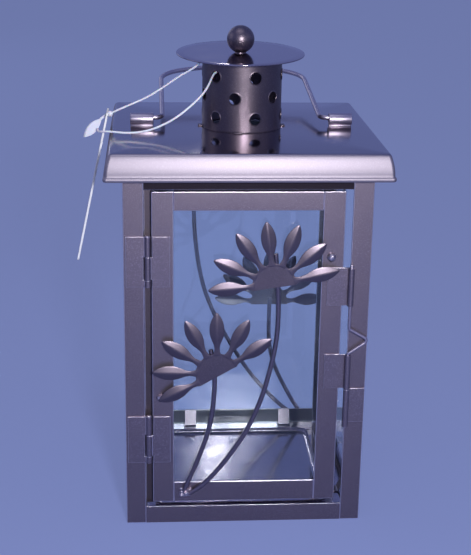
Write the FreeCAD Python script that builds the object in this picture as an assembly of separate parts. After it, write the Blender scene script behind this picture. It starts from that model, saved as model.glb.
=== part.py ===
import FreeCAD
import Part

import math
import os

# Square candle lantern. The origin is the middle of the base's underside, +X runs to the right of the door,
# +Y to the back and +Z up. Lengths are in millimetres and angles in degrees.

Vector = FreeCAD.Vector

# Frame
BODY_WIDTH = 142.0
FRAME_HEIGHT = 230.0
SHEET = 1.0
POST_FLANGE = 11.7
BASE_RAIL_HEIGHT = 11.0
TOP_RAIL_HEIGHT = 20.0
LEDGE_WIDTH = 12.0

# Floor and candle tray
FLOOR_SHEET = 0.6
FLOOR_RIM_WIDTH = 7.5
FLOOR_RECESS_CLEARANCE = 0.6
TRAY_MARGIN = 4.8
TRAY_SHEET = 0.5
TRAY_LIP_HEIGHT = 3.5
TRAY_CORNER_RADIUS = 5.0

# Fixed panes and their clips
GLASS = 2.0
PANE_CLEARANCE = 0.3
CLIP_SHEET = 0.8
CLIP_WIDTH = 8.0
CLIP_FOOT = 4.0
CLIP_RUN = 5.0
CLIP_RISE = 10.5
CLIP_BACK_SHARES = (-0.2, 0.27)
CLIP_SIDE_SHARES = (-0.25, 0.25)

# Lid
LID_SHEET = 1.0
LID_OVERHANG = 7.5
LID_FLARE = 3.0
LID_DROP = 14.5
LID_CORNER_RADIUS = 7.0
LID_BULGE_WIDTH_SHARE = 0.8
LID_BULGE_HEIGHT_SHARE = 0.55

# Chimney
CHIMNEY_RADIUS = 23.9
CHIMNEY_WALL = 0.6
CHIMNEY_HEIGHT = 40.8
CHIMNEY_SEAT = 1.0
VENT_RADIUS = 3.5
VENT_COUNT = 6
VENT_HEIGHT_SHARES = (0.203, 0.498, 0.796)
VENT_START_ANGLES = (16.0, 46.0, 16.0)
EAR_WIDTH = 5.0
EAR_REACH = 2.5
EAR_SHEET = 0.8
EAR_ANGLES = (-92.0, -8.0, 92.0)

# Cap, its bridge and the ball knob
CAP_RADIUS = 38.4
CAP_SHEET = 0.7
CAP_TILT_ANGLE = 2.8
CAP_OFFSET = -1.2
CAP_GAP = 2.8
BRIDGE_SHEET = 0.8
BRIDGE_WIDTH = 8.0
BRIDGE_DEPTH = 16.0
BRIDGE_ANGLE = -14.0
BRIDGE_SIDE_CLEARANCE = 0.1
BALL_RADIUS = 8.2
BALL_FLAT_DEPTH = 0.3
STUD_RADIUS = 2.0
STUD_CLEARANCE = 0.05
STUD_GRIP = 6.0
NUT_FLATS = 7.0
NUT_HEIGHT = 3.2
STUD_TAIL = 1.0

# Carrying bail and its brackets
WIRE_RADIUS = 1.5
BAIL_WIDTH = 96.0
BAIL_LEG = 84.0
BAIL_SHOULDER_RADIUS = 26.0
BAIL_TOP_RADIUS = 66.0
BAIL_FOOT_BEND = 4.5
BAIL_FOOT_LENGTH = 18.5
BAIL_REST_ANGLE = 6.2
BAIL_AXIS_HEIGHT = 5.0
BRACKET_RADIUS = 3.1
BRACKET_LENGTH = 14.0
BRACKET_NECK = 4.2
BRACKET_FROM_BAIL = 5.3
RUNNING_CLEARANCE = 0.05

# Door
DOOR_SIDE_GAP = 4.3
DOOR_BOTTOM_GAP = 3.3
DOOR_TOP_GAP = 2.0
DOOR_DEPTH = 5.0
STILE_WIDTH = 12.5
DOOR_TOP_RAIL = 11.2
DOOR_BOTTOM_RAIL = 13.0
DOOR_CLIP_SHEET = 0.6
DOOR_CLIP_WIDTH = 6.0
DOOR_CLIP_REACH = 4.5
DOOR_CLIP_HEIGHT_SHARES = (0.15, 0.5, 0.85)
STOP_SHEET = 0.8
STOP_FOOT = 6.0
STOP_LAP = 0.6
STOP_CLEARANCE = 0.4

# Hinges
LEAF_SHEET = 0.8
HINGE_PIN_RADIUS = 0.95
KNUCKLE_WALL = 0.8
HINGE_HEIGHT = 30.0
HINGE_FRAME_LEAF = 9.8
HINGE_DOOR_LEAF = 10.0
HINGE_LEAF_GAP = 0.9
HINGE_LOWER_BOTTOM = 41.0
HINGE_UPPER_BOTTOM = 152.0
KNUCKLE_SPLIT_SHARES = (0.14, 0.6)
KNUCKLE_CLEARANCE = 0.2
HINGE_HEAD_RADIUS = 1.5
HINGE_HEAD_HEIGHT = 0.7

# Latch
LATCH_PIN_RADIUS = 0.95
LATCH_STAND_OFF = 0.3
LATCH_LEAF_INSET = 9.0
KEEPER_LEAF_END_GAP = 0.3
KEEPER_BOTTOM = 63.5
KEEPER_HEIGHT = 24.1
KEEPER_LEAF_HEIGHT = 21.6
EYE_LOWER_BOTTOM = 88.0
EYE_LOWER_HEIGHT = 21.5
EYE_UPPER_BOTTOM = 140.0
EYE_UPPER_HEIGHT = 23.0
GRIP_DEPTH = 11.9
GRIP_HEIGHT = 15.9
GRIP_BOTTOM_GAP = 1.0
GRIP_APEX_SHARE = 0.52
GRIP_BEND_RADIUS = 1.9
PIN_TAIL_IN_KEEPER = 11.0
PIN_HEAD_ABOVE_EYE = 2.0

# Flowers and stems
FLOWER_SHEET = 0.8
FLOWER_TIP_RADIUS = 37.5
PETAL_START_RADIUS = 11.0
PETAL_WIDTH = 8.0
PETAL_COUNT = 7
PETAL_SPACING_ANGLE = 28.5
PETAL_FOLD_ANGLE = 18.0
HUB_RADIUS = 13.2
HUB_FLAT_DROP = 1.6
STEM_RADIUS = 1.45
STEM_STAND_OFF = 0.1
WELD_RADIUS = 3.6
WELD_TOP_RADIUS = 2.4
LUG_WIDTH = 5.5
LUG_HEIGHT = 6.0
TALL_LUG_HEIGHT = 9.1

# Places of the flowers and welds, as shares of half the body's width and of the frame's height, with each
# flower's lean, then of the lugs behind the outer petals, as shares of the petals' reach from the flower
FRONT_FLOWER_SHARES = ((0.2042, 0.6691), (-0.2408, 0.4283))
FRONT_LEAN_ANGLES = (98.5, 119.8)
FRONT_WELD_SHARES = (-0.5014, 0.0904)
FRONT_LUG_SHARES = ((0.892, 0.3693), (-0.8827, -0.4347))
BACK_FLOWER_SHARES = ((-0.3662, 0.7217), (0.3746, 0.3957))
BACK_LEAN_ANGLES = (79.2, 90.0)
BACK_WELD_SHARES = (0.7127, 0.0235)
BACK_LUG_SHARES = ((-0.9707, 0.2907), (0.976, 0.0933))

# Ends of each side's long and short stem, as shares of the weld's radius from its middle
FRONT_END_SHARES = ((0.472, -0.167), (-0.361, 0.0))
BACK_END_SHARES = ((-0.497, -0.279), (0.556, 0.028))

# Routes of the stems, as shares of the way across and down from the flower to the weld
FRONT_LONG_STEM_SHARES = (
    (-0.023, -0.135),
    (-0.056, -0.0045),
    (-0.074, 0.1247),
    (-0.062, 0.2532),
    (-0.004, 0.3824),
    (0.098, 0.5364),
    (0.2575, 0.6882),
    (0.463, 0.8122),
    (0.6766, 0.9185),
    (0.8343, 0.976),
)
FRONT_SHORT_STEM_SHARES = (
    (0.205, -0.193),
    (0.059, -0.006),
    (0.086, 0.184),
    (0.173, 0.391),
    (0.362, 0.56),
    (0.665, 0.759),
    (0.892, 0.892),
)
BACK_LONG_STEM_SHARES = (
    (-0.005, -0.0125),
    (-0.004, 0.106),
    (0.021, 0.2335),
    (0.069, 0.367),
    (0.146, 0.476),
    (0.252, 0.582),
    (0.381, 0.692),
    (0.5325, 0.8045),
    (0.7, 0.897),
    (0.855, 0.9726),
)
BACK_SHORT_STEM_SHARES = (
    (0.0, 0.029),
    (-0.004, 0.181),
    (0.0125, 0.327),
    (0.096, 0.467),
    (0.2625, 0.602),
    (0.554, 0.765),
    (0.8625, 0.924),
)

# Swing tag and its loop
TAG_ABOVE_LID = 10.0
TAG_OFF_LID = 2.4
TAG_DROP = 87.0
TAG_LEAN_OUT = 18.7
TAG_WIDTH = 44.0
TAG_MIDDLE_SHARE = -0.0704
TAG_SHEET = 0.45
TAG_CORNER_RADIUS = 2.0
TAG_HOLE_RADIUS = 2.2
TAG_HOLE_DROP = 2.5
LOOP_RADIUS = 0.6
BEAD_RADIUS = 1.8
NECK_RADIUS = 0.8
LOCK_REACH = 16.5
LOCK_WIDTH = 5.6
LOCK_SHEET = 1.4

# Places of the lock's bead and of its leaf's two ends from the tag's hole, as shares of the lock's reach
BEAD_SHARES = (0.1364, 0.0485, 0.0242)
LEAF_TOP_SHARES = (-0.1909, -0.2909, -0.097)
LEAF_TIP_SHARES = (-0.7667, -0.9091, -0.6303)
LEAF_SIDE_SHARES = (-0.45, 0.0, 0.9)

# The loop's two strands: the upper one goes over the chimney's rim, the lower one out of a vent
LOOP_UPPER_ROUTE = (
    (-16.9, -13.0, 268.0),
    (-17.8, -12.4, 270.8),
    (-19.8, -11.3, 272.9),
    (-22.7, -9.9, 273.2),
    (-25.4, -8.7, 271.0),
    (-27.9, -7.5, 267.9),
    (-32.3, -6.1, 265.0),
    (-38.6, -5.0, 261.2),
    (-47.0, -4.8, 255.2),
    (-56.4, -5.1, 249.3),
    (-65.8, -5.0, 245.1),
    (-73.4, -4.8, 241.9),
    (-78.4, -4.4, 239.4),
)
LOOP_LOWER_ROUTE = (
    (-14.6, -12.2, 266.4),
    (-16.0, -14.6, 266.2),
    (-17.9, -17.9, 265.2),
    (-19.4, -21.9, 263.2),
    (-21.4, -26.0, 259.5),
    (-25.0, -30.6, 255.1),
    (-31.0, -34.0, 249.9),
    (-39.5, -35.0, 243.0),
    (-49.0, -35.0, 237.7),
    (-58.6, -35.0, 234.4),
    (-68.4, -34.2, 233.4),
    (-76.3, -32.6, 233.9),
    (-81.0, -30.3, 233.6),
    (-84.3, -26.6, 232.7),
    (-85.9, -22.0, 232.0),
    (-86.4, -17.4, 232.5),
)

# Shared sizes
RUN_SHARE = 0.45
OVERRUN = 5.0

# Places worked out from the sizes above
HALF = BODY_WIDTH / 2
FRONT = -HALF
POST_INNER = HALF - POST_FLANGE
LEDGE_INNER = HALF - LEDGE_WIDTH
PANE_OUTER = HALF - SHEET
PANE_INNER = PANE_OUTER - GLASS
LID_TOP = FRAME_HEIGHT + LID_SHEET
LID_TOP_HALF = HALF + LID_OVERHANG
LID_SKIRT_HALF = LID_TOP_HALF + LID_FLARE
CHIMNEY_TOP = LID_TOP + CHIMNEY_HEIGHT
CHIMNEY_BORE = CHIMNEY_RADIUS - CHIMNEY_WALL
BRIDGE_TOP = CHIMNEY_TOP + CAP_GAP
DOOR_HALF = POST_INNER - DOOR_SIDE_GAP
DOOR_BOTTOM = BASE_RAIL_HEIGHT + DOOR_BOTTOM_GAP
DOOR_TOP = FRAME_HEIGHT - TOP_RAIL_HEIGHT - DOOR_TOP_GAP
STILE_INNER = DOOR_HALF - STILE_WIDTH
DOOR_GLASS_BACK = FRONT + SHEET + GLASS
KNUCKLE_RADIUS = HINGE_PIN_RADIUS + RUNNING_CLEARANCE + KNUCKLE_WALL
HINGE_AXIS_X = -(POST_INNER + DOOR_HALF) / 2
HINGE_AXIS_Y = FRONT - LEAF_SHEET / 2
LATCH_RADIUS = LATCH_PIN_RADIUS + RUNNING_CLEARANCE + KNUCKLE_WALL
LATCH_AXIS_X = POST_INNER + LATCH_STAND_OFF
LATCH_AXIS_Y = FRONT - LATCH_STAND_OFF - LATCH_RADIUS
STEM_OUT = HALF + STEM_STAND_OFF + STEM_RADIUS
FLOWER_OUT = STEM_OUT + STEM_RADIUS
BAIL_AXIS_Z = LID_TOP + BAIL_AXIS_HEIGHT
TAG_LEAN_ANGLE = math.degrees(math.atan2(TAG_LEAN_OUT, TAG_DROP))
TAG_TOP = Vector(-LID_TOP_HALF - TAG_OFF_LID, HALF * TAG_MIDDLE_SHARE, LID_TOP + TAG_ABOVE_LID)
TAG_DOWN = Vector(-TAG_LEAN_OUT, 0, -TAG_DROP)
TAG_HOLE = TAG_TOP + TAG_DOWN * (TAG_HOLE_DROP / TAG_DROP)


def block(x0, x1, y0, y1, z0, z1):
    """Box between two corners."""
    return Part.makeBox(x1 - x0, y1 - y0, z1 - z0, Vector(x0, y0, z0))


def column(x, y, z0, z1, radius):
    """Upright cylinder between two heights."""
    return Part.makeCylinder(radius, z1 - z0, Vector(x, y, z0))


def fuse_all(shapes):
    """One solid from shapes that touch or overlap."""
    joined = shapes[0]
    for shape in shapes[1:]:
        joined = joined.fuse(shape)
    return joined.removeSplitter()


def group(shapes):
    """Separate solids kept together."""
    return Part.makeCompound(shapes)


def turned(shape, angle, centre=Vector(0, 0, 0), axis=Vector(0, 0, 1)):
    """Copy of a shape, turned about an axis."""
    copy = shape.copy()
    copy.rotate(centre, axis, angle)
    return copy


def save(name, shape):
    """Write one sub-part."""
    shape.exportStep(os.path.join("parts", name + ".step"))


def prism(points, depth):
    """Solid between a closed outline and its copy, moved by depth."""
    wire = Part.makePolygon(list(points) + [points[0]])
    return Part.Face(wire).extrude(depth)


def rounded_square(half, radius, z):
    """Closed wire of a square with rounded corners at height z."""
    bend = radius * (1 - math.sqrt(0.5))
    inner = half - radius
    edges = []
    for quarter in range(4):
        line = Part.LineSegment(Vector(half, -inner, z), Vector(half, inner, z)).toShape()
        arc = Part.Arc(
            Vector(half, inner, z),
            Vector(half - bend, half - bend, z),
            Vector(inner, half, z),
        ).toShape()
        edges.append(turned(line, 90 * quarter))
        edges.append(turned(arc, 90 * quarter))
    return Part.Wire(edges)


def bent_path(points, bend=None):
    """Wire of straight runs joined by tangent arcs, and the arcs' radii.

    Each arc has the radius bend, or else the largest one that its two runs allow.
    """
    edges = []
    radii = []
    start = points[0]
    for before, here, after in zip(points, points[1:], points[2:]):
        into = here - before
        out = after - here
        reach = RUN_SHARE * min(into.Length, out.Length)
        into.normalize()
        out.normalize()
        half_turn = into.getAngle(out) / 2
        radius = bend or reach / math.tan(half_turn)
        reach = radius * math.tan(half_turn)
        inward = out - into
        inward.normalize()
        arc_start = here - into * reach
        arc_middle = here + inward * (radius / math.cos(half_turn) - radius)
        arc_end = here + out * reach
        edges.append(Part.LineSegment(start, arc_start).toShape())
        edges.append(Part.Arc(arc_start, arc_middle, arc_end).toShape())
        radii.append(radius)
        start = arc_end
    edges.append(Part.LineSegment(start, points[-1]).toShape())
    return Part.Wire(edges), radii


def tube_along(path, radius):
    """Round solid rod along a wire."""
    first = path.OrderedEdges[0]
    direction = first.tangentAt(first.FirstParameter)
    start = first.valueAt(first.FirstParameter)
    circle = Part.Wire(Part.makeCircle(radius, start, direction))
    return path.makePipeShell([circle], True, False)


def corner_posts():
    """Four corner posts, each an upright angle."""
    post = block(POST_INNER, HALF, POST_INNER, HALF, 0, FRAME_HEIGHT)
    inside = HALF - SHEET
    corner = POST_INNER - OVERRUN
    hollow = block(corner, inside, corner, inside, -OVERRUN, FRAME_HEIGHT + OVERRUN)
    post = post.cut(hollow)
    names = ("post_back_right", "post_back_left", "post_front_left", "post_front_right")
    for quarter, name in enumerate(names):
        save(name, turned(post, 90 * quarter))


def frame_rails():
    """Base rails with their ledges, and top rails with their flanges, between the posts."""
    base_face = block(-POST_INNER, POST_INNER, FRONT, FRONT + SHEET, 0, BASE_RAIL_HEIGHT)
    base_ledge = block(-LEDGE_INNER, LEDGE_INNER, FRONT, FRONT + LEDGE_WIDTH, 0, SHEET)
    top_bottom = FRAME_HEIGHT - TOP_RAIL_HEIGHT
    top_face = block(-POST_INNER, POST_INNER, FRONT, FRONT + SHEET, top_bottom, FRAME_HEIGHT)
    flange_bottom = FRAME_HEIGHT - SHEET
    top_flange = block(-LEDGE_INNER, LEDGE_INNER, FRONT, FRONT + LEDGE_WIDTH, flange_bottom, FRAME_HEIGHT)
    base = fuse_all([base_face, base_ledge])
    top = fuse_all([top_face, top_flange])
    for quarter, side in enumerate(("front", "right", "back", "left")):
        save("base_rail_" + side, turned(base, 90 * quarter))
        save("top_rail_" + side, turned(top, 90 * quarter))


def floor_and_tray():
    """Floor plate, sunk between the ledges it hangs on, and the loose candle tray on it."""
    recess = LEDGE_INNER - FLOOR_RECESS_CLEARANCE
    rim_half = LEDGE_INNER + FLOOR_RIM_WIDTH
    rim_top = SHEET + FLOOR_SHEET
    rim = block(-rim_half, rim_half, -rim_half, rim_half, SHEET, rim_top)
    pan = block(-recess, recess, -recess, recess, 0, rim_top)
    inner = recess - FLOOR_SHEET
    hollow = block(-inner, inner, -inner, inner, FLOOR_SHEET, rim_top + OVERRUN)
    save("floor_plate", fuse_all([rim, pan]).cut(hollow))

    tray_half = inner - TRAY_MARGIN
    tray_top = FLOOR_SHEET + TRAY_LIP_HEIGHT
    outer = Part.Face(rounded_square(tray_half, TRAY_CORNER_RADIUS, FLOOR_SHEET))
    outer = outer.extrude(Vector(0, 0, TRAY_LIP_HEIGHT))
    inner_half = tray_half - TRAY_SHEET
    inner_wire = rounded_square(inner_half, TRAY_CORNER_RADIUS - TRAY_SHEET, FLOOR_SHEET + TRAY_SHEET)
    inner = Part.Face(inner_wire).extrude(Vector(0, 0, tray_top))
    save("candle_tray", outer.cut(inner))


def fixed_panes():
    """Back and side panes, each behind the posts and between ledge and top flange."""
    bottom = SHEET
    top = FRAME_HEIGHT - SHEET - PANE_CLEARANCE
    rim_gap = PANE_CLEARANCE
    wide = PANE_OUTER - rim_gap
    save("pane_back", block(-wide, wide, PANE_INNER, PANE_OUTER, bottom, top))
    side = block(PANE_INNER, PANE_OUTER, -PANE_OUTER, PANE_INNER - rim_gap, bottom, top)
    save("pane_right", side)
    save("pane_left", side.mirror(Vector(0, 0, 0), Vector(1, 0, 0)))


def pane_clip(seat, rise):
    """One clip for the back pane: a foot on its seat and a leg that leans on the glass."""
    up = math.copysign(1, rise)
    foot_start = PANE_INNER - CLIP_RUN - CLIP_FOOT
    foot_end = PANE_INNER - CLIP_RUN
    skin = CLIP_SHEET * up
    outline = (
        Vector(0, foot_start, seat),
        Vector(0, foot_end, seat),
        Vector(0, PANE_INNER, seat + rise),
        Vector(0, PANE_INNER - CLIP_SHEET, seat + rise),
        Vector(0, foot_end - CLIP_SHEET / 2, seat + skin),
        Vector(0, foot_start, seat + skin),
    )
    clip = prism(outline, Vector(CLIP_WIDTH, 0, 0))
    clip.translate(Vector(-CLIP_WIDTH / 2, 0, 0))
    return clip


def pane_clips():
    """Bottom and top clips of the three fixed panes."""
    low = pane_clip(SHEET + FLOOR_SHEET, CLIP_RISE)
    high = pane_clip(FRAME_HEIGHT - SHEET, -CLIP_RISE)
    back = []
    for share in CLIP_BACK_SHARES:
        for clip in (low, high):
            copy = clip.copy()
            copy.translate(Vector(BODY_WIDTH * share, 0, 0))
            back.append(copy)
    save("clips_back", group(back))
    sides = []
    for share in CLIP_SIDE_SHARES:
        for clip in (low, high):
            copy = clip.copy()
            copy.translate(Vector(BODY_WIDTH * share, 0, 0))
            sides.append(turned(copy, 90))
            sides.append(turned(copy, -90))
    save("clips_sides", group(sides))


def lid_form(inset, bottom, top):
    """Solid of the lid's outside, drawn in by inset."""
    skirt_bottom = FRAME_HEIGHT - LID_DROP
    bulge_half = LID_TOP_HALF + LID_FLARE * LID_BULGE_WIDTH_SHARE
    bulge_height = skirt_bottom + (LID_TOP - skirt_bottom) * LID_BULGE_HEIGHT_SHARE
    radius = LID_CORNER_RADIUS - inset
    sections = [
        rounded_square(LID_SKIRT_HALF - inset, radius, bottom),
        rounded_square(bulge_half - inset, radius, bulge_height),
        rounded_square(LID_TOP_HALF - inset, radius, top),
    ]
    return Part.makeLoft(sections, True, False)


def lid():
    """Pressed lid: a flat top with the chimney's hole and a bulged skirt."""
    skirt_bottom = FRAME_HEIGHT - LID_DROP
    outside = lid_form(0, skirt_bottom, LID_TOP)
    inside = lid_form(LID_SHEET, skirt_bottom, FRAME_HEIGHT)
    hole_radius = CHIMNEY_BORE - CHIMNEY_SEAT
    hole = column(0, 0, FRAME_HEIGHT - OVERRUN, LID_TOP + OVERRUN, hole_radius)
    save("lid", outside.cut(inside).cut(hole))


def chimney():
    """Chimney tube with its rows of vents and the ears at its foot."""
    tube = column(0, 0, LID_TOP, CHIMNEY_TOP, CHIMNEY_RADIUS)
    ear_end = -CHIMNEY_RADIUS - EAR_REACH
    ear = block(-EAR_WIDTH / 2, EAR_WIDTH / 2, ear_end, -CHIMNEY_BORE, LID_TOP, LID_TOP + EAR_SHEET)
    tube = fuse_all([tube] + [turned(ear, angle) for angle in EAR_ANGLES])
    tube = tube.cut(column(0, 0, LID_TOP - OVERRUN, CHIMNEY_TOP + OVERRUN, CHIMNEY_BORE))
    for share, start in zip(VENT_HEIGHT_SHARES, VENT_START_ANGLES):
        height = LID_TOP + CHIMNEY_HEIGHT * share
        reach = CHIMNEY_RADIUS + OVERRUN
        vent = Part.makeCylinder(VENT_RADIUS, reach, Vector(0, 0, height), Vector(0, -1, 0))
        for number in range(VENT_COUNT):
            tube = tube.cut(turned(vent, start + 360 * number / VENT_COUNT))
    save("chimney_tube", tube)


def tilted(shape):
    """Place a piece of the cap: off the middle a little, and leaning to the front."""
    copy = shape.copy()
    copy.translate(Vector(CAP_OFFSET, 0, 0))
    return turned(copy, CAP_TILT_ANGLE, Vector(0, 0, BRIDGE_TOP), Vector(1, 0, 0))


def cap_parts():
    """Bridge, disc, stud, nut and ball knob over the chimney."""
    half_width = BRIDGE_WIDTH / 2
    lean_shift = BRIDGE_DEPTH * math.sin(math.radians(CAP_TILT_ANGLE))
    off_side = half_width + lean_shift + abs(CAP_OFFSET)
    wall = CHIMNEY_BORE - BRIDGE_SIDE_CLEARANCE
    reach = math.sqrt(wall ** 2 - off_side ** 2) - lean_shift
    bridge_outer = block(-half_width, half_width, -reach, reach, BRIDGE_TOP - BRIDGE_DEPTH, BRIDGE_TOP)
    bridge_inner = block(
        -half_width - OVERRUN,
        half_width + OVERRUN,
        -reach + BRIDGE_SHEET,
        reach - BRIDGE_SHEET,
        BRIDGE_TOP - BRIDGE_DEPTH - OVERRUN,
        BRIDGE_TOP - BRIDGE_SHEET,
    )
    hole_radius = STUD_RADIUS + STUD_CLEARANCE
    disc_top = BRIDGE_TOP + CAP_SHEET
    ball_middle = disc_top + BALL_RADIUS - BALL_FLAT_DEPTH
    nut_top = BRIDGE_TOP - BRIDGE_SHEET
    nut_bottom = nut_top - NUT_HEIGHT
    stud_top = disc_top + STUD_GRIP
    stud_bottom = nut_bottom - STUD_TAIL
    bore = column(0, 0, stud_bottom - OVERRUN, stud_top, hole_radius)

    bridge = turned(bridge_outer.cut(bridge_inner).cut(bore), BRIDGE_ANGLE)
    save("cap_bridge", tilted(bridge))
    disc = column(0, 0, BRIDGE_TOP, disc_top, CAP_RADIUS).cut(bore)
    save("cap_disc", tilted(disc))
    save("cap_stud", tilted(column(0, 0, stud_bottom, stud_top, STUD_RADIUS)))

    corner_radius = NUT_FLATS / math.sqrt(3)
    corners = []
    for number in range(6):
        angle = math.radians(60 * number)
        corners.append(Vector(corner_radius * math.cos(angle), corner_radius * math.sin(angle), nut_bottom))
    nut = prism(corners, Vector(0, 0, NUT_HEIGHT)).cut(bore)
    save("cap_nut", tilted(nut))

    ball = Part.makeSphere(BALL_RADIUS, Vector(0, 0, ball_middle))
    below = column(0, 0, disc_top - OVERRUN, disc_top, BALL_RADIUS)
    save("ball_knob", tilted(ball.cut(below).cut(bore)))


def bail():
    """Carrying bail: one wire, bent in a plane that leans back over the lid."""
    half = BAIL_WIDTH / 2
    foot_end = half + BAIL_FOOT_LENGTH
    shoulder_x = half - BAIL_SHOULDER_RADIUS
    link = BAIL_TOP_RADIUS - BAIL_SHOULDER_RADIUS
    centre_drop = math.sqrt(link ** 2 - shoulder_x ** 2)
    top_centre = BAIL_LEG - centre_drop
    join_x = shoulder_x * BAIL_TOP_RADIUS / link
    join_y = top_centre + centre_drop * BAIL_TOP_RADIUS / link
    bend = BAIL_FOOT_BEND * (1 - math.sqrt(0.5))
    half_angle = math.atan2(join_y - BAIL_LEG, join_x - shoulder_x) / 2
    shoulder = Vector(
        shoulder_x + BAIL_SHOULDER_RADIUS * math.cos(half_angle),
        BAIL_LEG + BAIL_SHOULDER_RADIUS * math.sin(half_angle),
        0,
    )
    right = [
        Part.LineSegment(Vector(foot_end, 0, 0), Vector(half + BAIL_FOOT_BEND, 0, 0)).toShape(),
        Part.Arc(
            Vector(half + BAIL_FOOT_BEND, 0, 0),
            Vector(half + bend, bend, 0),
            Vector(half, BAIL_FOOT_BEND, 0),
        ).toShape(),
        Part.LineSegment(Vector(half, BAIL_FOOT_BEND, 0), Vector(half, BAIL_LEG, 0)).toShape(),
        Part.Arc(Vector(half, BAIL_LEG, 0), shoulder, Vector(join_x, join_y, 0)).toShape(),
        Part.Arc(
            Vector(join_x, join_y, 0),
            Vector(0, top_centre + BAIL_TOP_RADIUS, 0),
            Vector(-join_x, join_y, 0),
        ).toShape(),
    ]
    left = [
        Part.Arc(
            Vector(-join_x, join_y, 0),
            Vector(-shoulder.x, shoulder.y, 0),
            Vector(-half, BAIL_LEG, 0),
        ).toShape(),
        Part.LineSegment(Vector(-half, BAIL_LEG, 0), Vector(-half, BAIL_FOOT_BEND, 0)).toShape(),
        Part.Arc(
            Vector(-half, BAIL_FOOT_BEND, 0),
            Vector(-half - bend, bend, 0),
            Vector(-half - BAIL_FOOT_BEND, 0, 0),
        ).toShape(),
        Part.LineSegment(Vector(-half - BAIL_FOOT_BEND, 0, 0), Vector(-foot_end, 0, 0)).toShape(),
    ]
    wire = tube_along(Part.Wire(right + left), WIRE_RADIUS)
    wire = turned(wire, BAIL_REST_ANGLE, Vector(0, 0, 0), Vector(1, 0, 0))
    wire.translate(Vector(0, 0, BAIL_AXIS_Z))
    save("bail_handle", wire)


def bail_brackets():
    """Two round lugs on the lid that the bail's feet turn in."""
    start = BAIL_WIDTH / 2 + BRACKET_FROM_BAIL
    end = Vector(start, 0, BAIL_AXIS_Z)
    barrel = Part.makeCylinder(BRACKET_RADIUS, BRACKET_LENGTH, end, Vector(1, 0, 0))
    neck = block(start, start + BRACKET_LENGTH, -BRACKET_NECK / 2, BRACKET_NECK / 2, LID_TOP, BAIL_AXIS_Z)
    bore = Part.makeCylinder(
        WIRE_RADIUS + RUNNING_CLEARANCE,
        BRACKET_LENGTH + 2 * OVERRUN,
        Vector(start - OVERRUN, 0, BAIL_AXIS_Z),
        Vector(1, 0, 0),
    )
    bracket = fuse_all([barrel, neck]).cut(bore)
    save("bail_bracket_right", bracket)
    save("bail_bracket_left", turned(bracket, 180))


def door_frame():
    """Door stiles and rails, each an angle, with the rails between the stiles."""
    back = FRONT + DOOR_DEPTH
    face = block(STILE_INNER, DOOR_HALF, FRONT, FRONT + SHEET, DOOR_BOTTOM, DOOR_TOP)
    edge = block(DOOR_HALF - SHEET, DOOR_HALF, FRONT, back, DOOR_BOTTOM, DOOR_TOP)
    stile = fuse_all([face, edge])
    save("door_stile_right", stile)
    save("door_stile_left", stile.mirror(Vector(0, 0, 0), Vector(1, 0, 0)))
    face_back = FRONT + SHEET
    top_face = block(-STILE_INNER, STILE_INNER, FRONT, face_back, DOOR_TOP - DOOR_TOP_RAIL, DOOR_TOP)
    top_edge = block(-STILE_INNER, STILE_INNER, FRONT, back, DOOR_TOP - SHEET, DOOR_TOP)
    save("door_rail_top", fuse_all([top_face, top_edge]))
    low_top = DOOR_BOTTOM + DOOR_BOTTOM_RAIL
    low_face = block(-STILE_INNER, STILE_INNER, FRONT, face_back, DOOR_BOTTOM, low_top)
    low_edge = block(-STILE_INNER, STILE_INNER, FRONT, back, DOOR_BOTTOM, DOOR_BOTTOM + SHEET)
    save("door_rail_bottom", fuse_all([low_face, low_edge]))


def door_pane():
    """Door glass, and the clips on the stiles' edges that hold it."""
    side = DOOR_HALF - SHEET
    glass_half = side - PANE_CLEARANCE
    bottom = DOOR_BOTTOM + SHEET + PANE_CLEARANCE
    top = DOOR_TOP - SHEET - PANE_CLEARANCE
    save("door_glass", block(-glass_half, glass_half, FRONT + SHEET, DOOR_GLASS_BACK, bottom, top))
    clips = []
    for share in DOOR_CLIP_HEIGHT_SHARES:
        height = DOOR_BOTTOM + (DOOR_TOP - DOOR_BOTTOM) * share
        low = height - DOOR_CLIP_WIDTH / 2
        high = height + DOOR_CLIP_WIDTH / 2
        clip_back = DOOR_GLASS_BACK + DOOR_CLIP_SHEET
        clip = block(side - DOOR_CLIP_REACH, side, DOOR_GLASS_BACK, clip_back, low, high)
        clips.append(clip)
        clips.append(clip.mirror(Vector(0, 0, 0), Vector(1, 0, 0)))
    save("door_clips", group(clips))


def door_stop():
    """Folded strip inside the left front post, which closes the hinge gap from behind."""
    seat = FRONT + SHEET
    face = FRONT + DOOR_DEPTH + STOP_CLEARANCE
    back = face + STOP_SHEET
    outer = -POST_INNER - STOP_SHEET
    low = BASE_RAIL_HEIGHT
    high = FRAME_HEIGHT - TOP_RAIL_HEIGHT
    foot = block(-POST_INNER - STOP_FOOT, -POST_INNER, seat, seat + STOP_SHEET, low, high)
    wall = block(outer, -POST_INNER, seat, back, low, high)
    strip = block(outer, -DOOR_HALF + STOP_LAP, face, back, low, high)
    save("door_stop", fuse_all([foot, wall, strip]))


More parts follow.
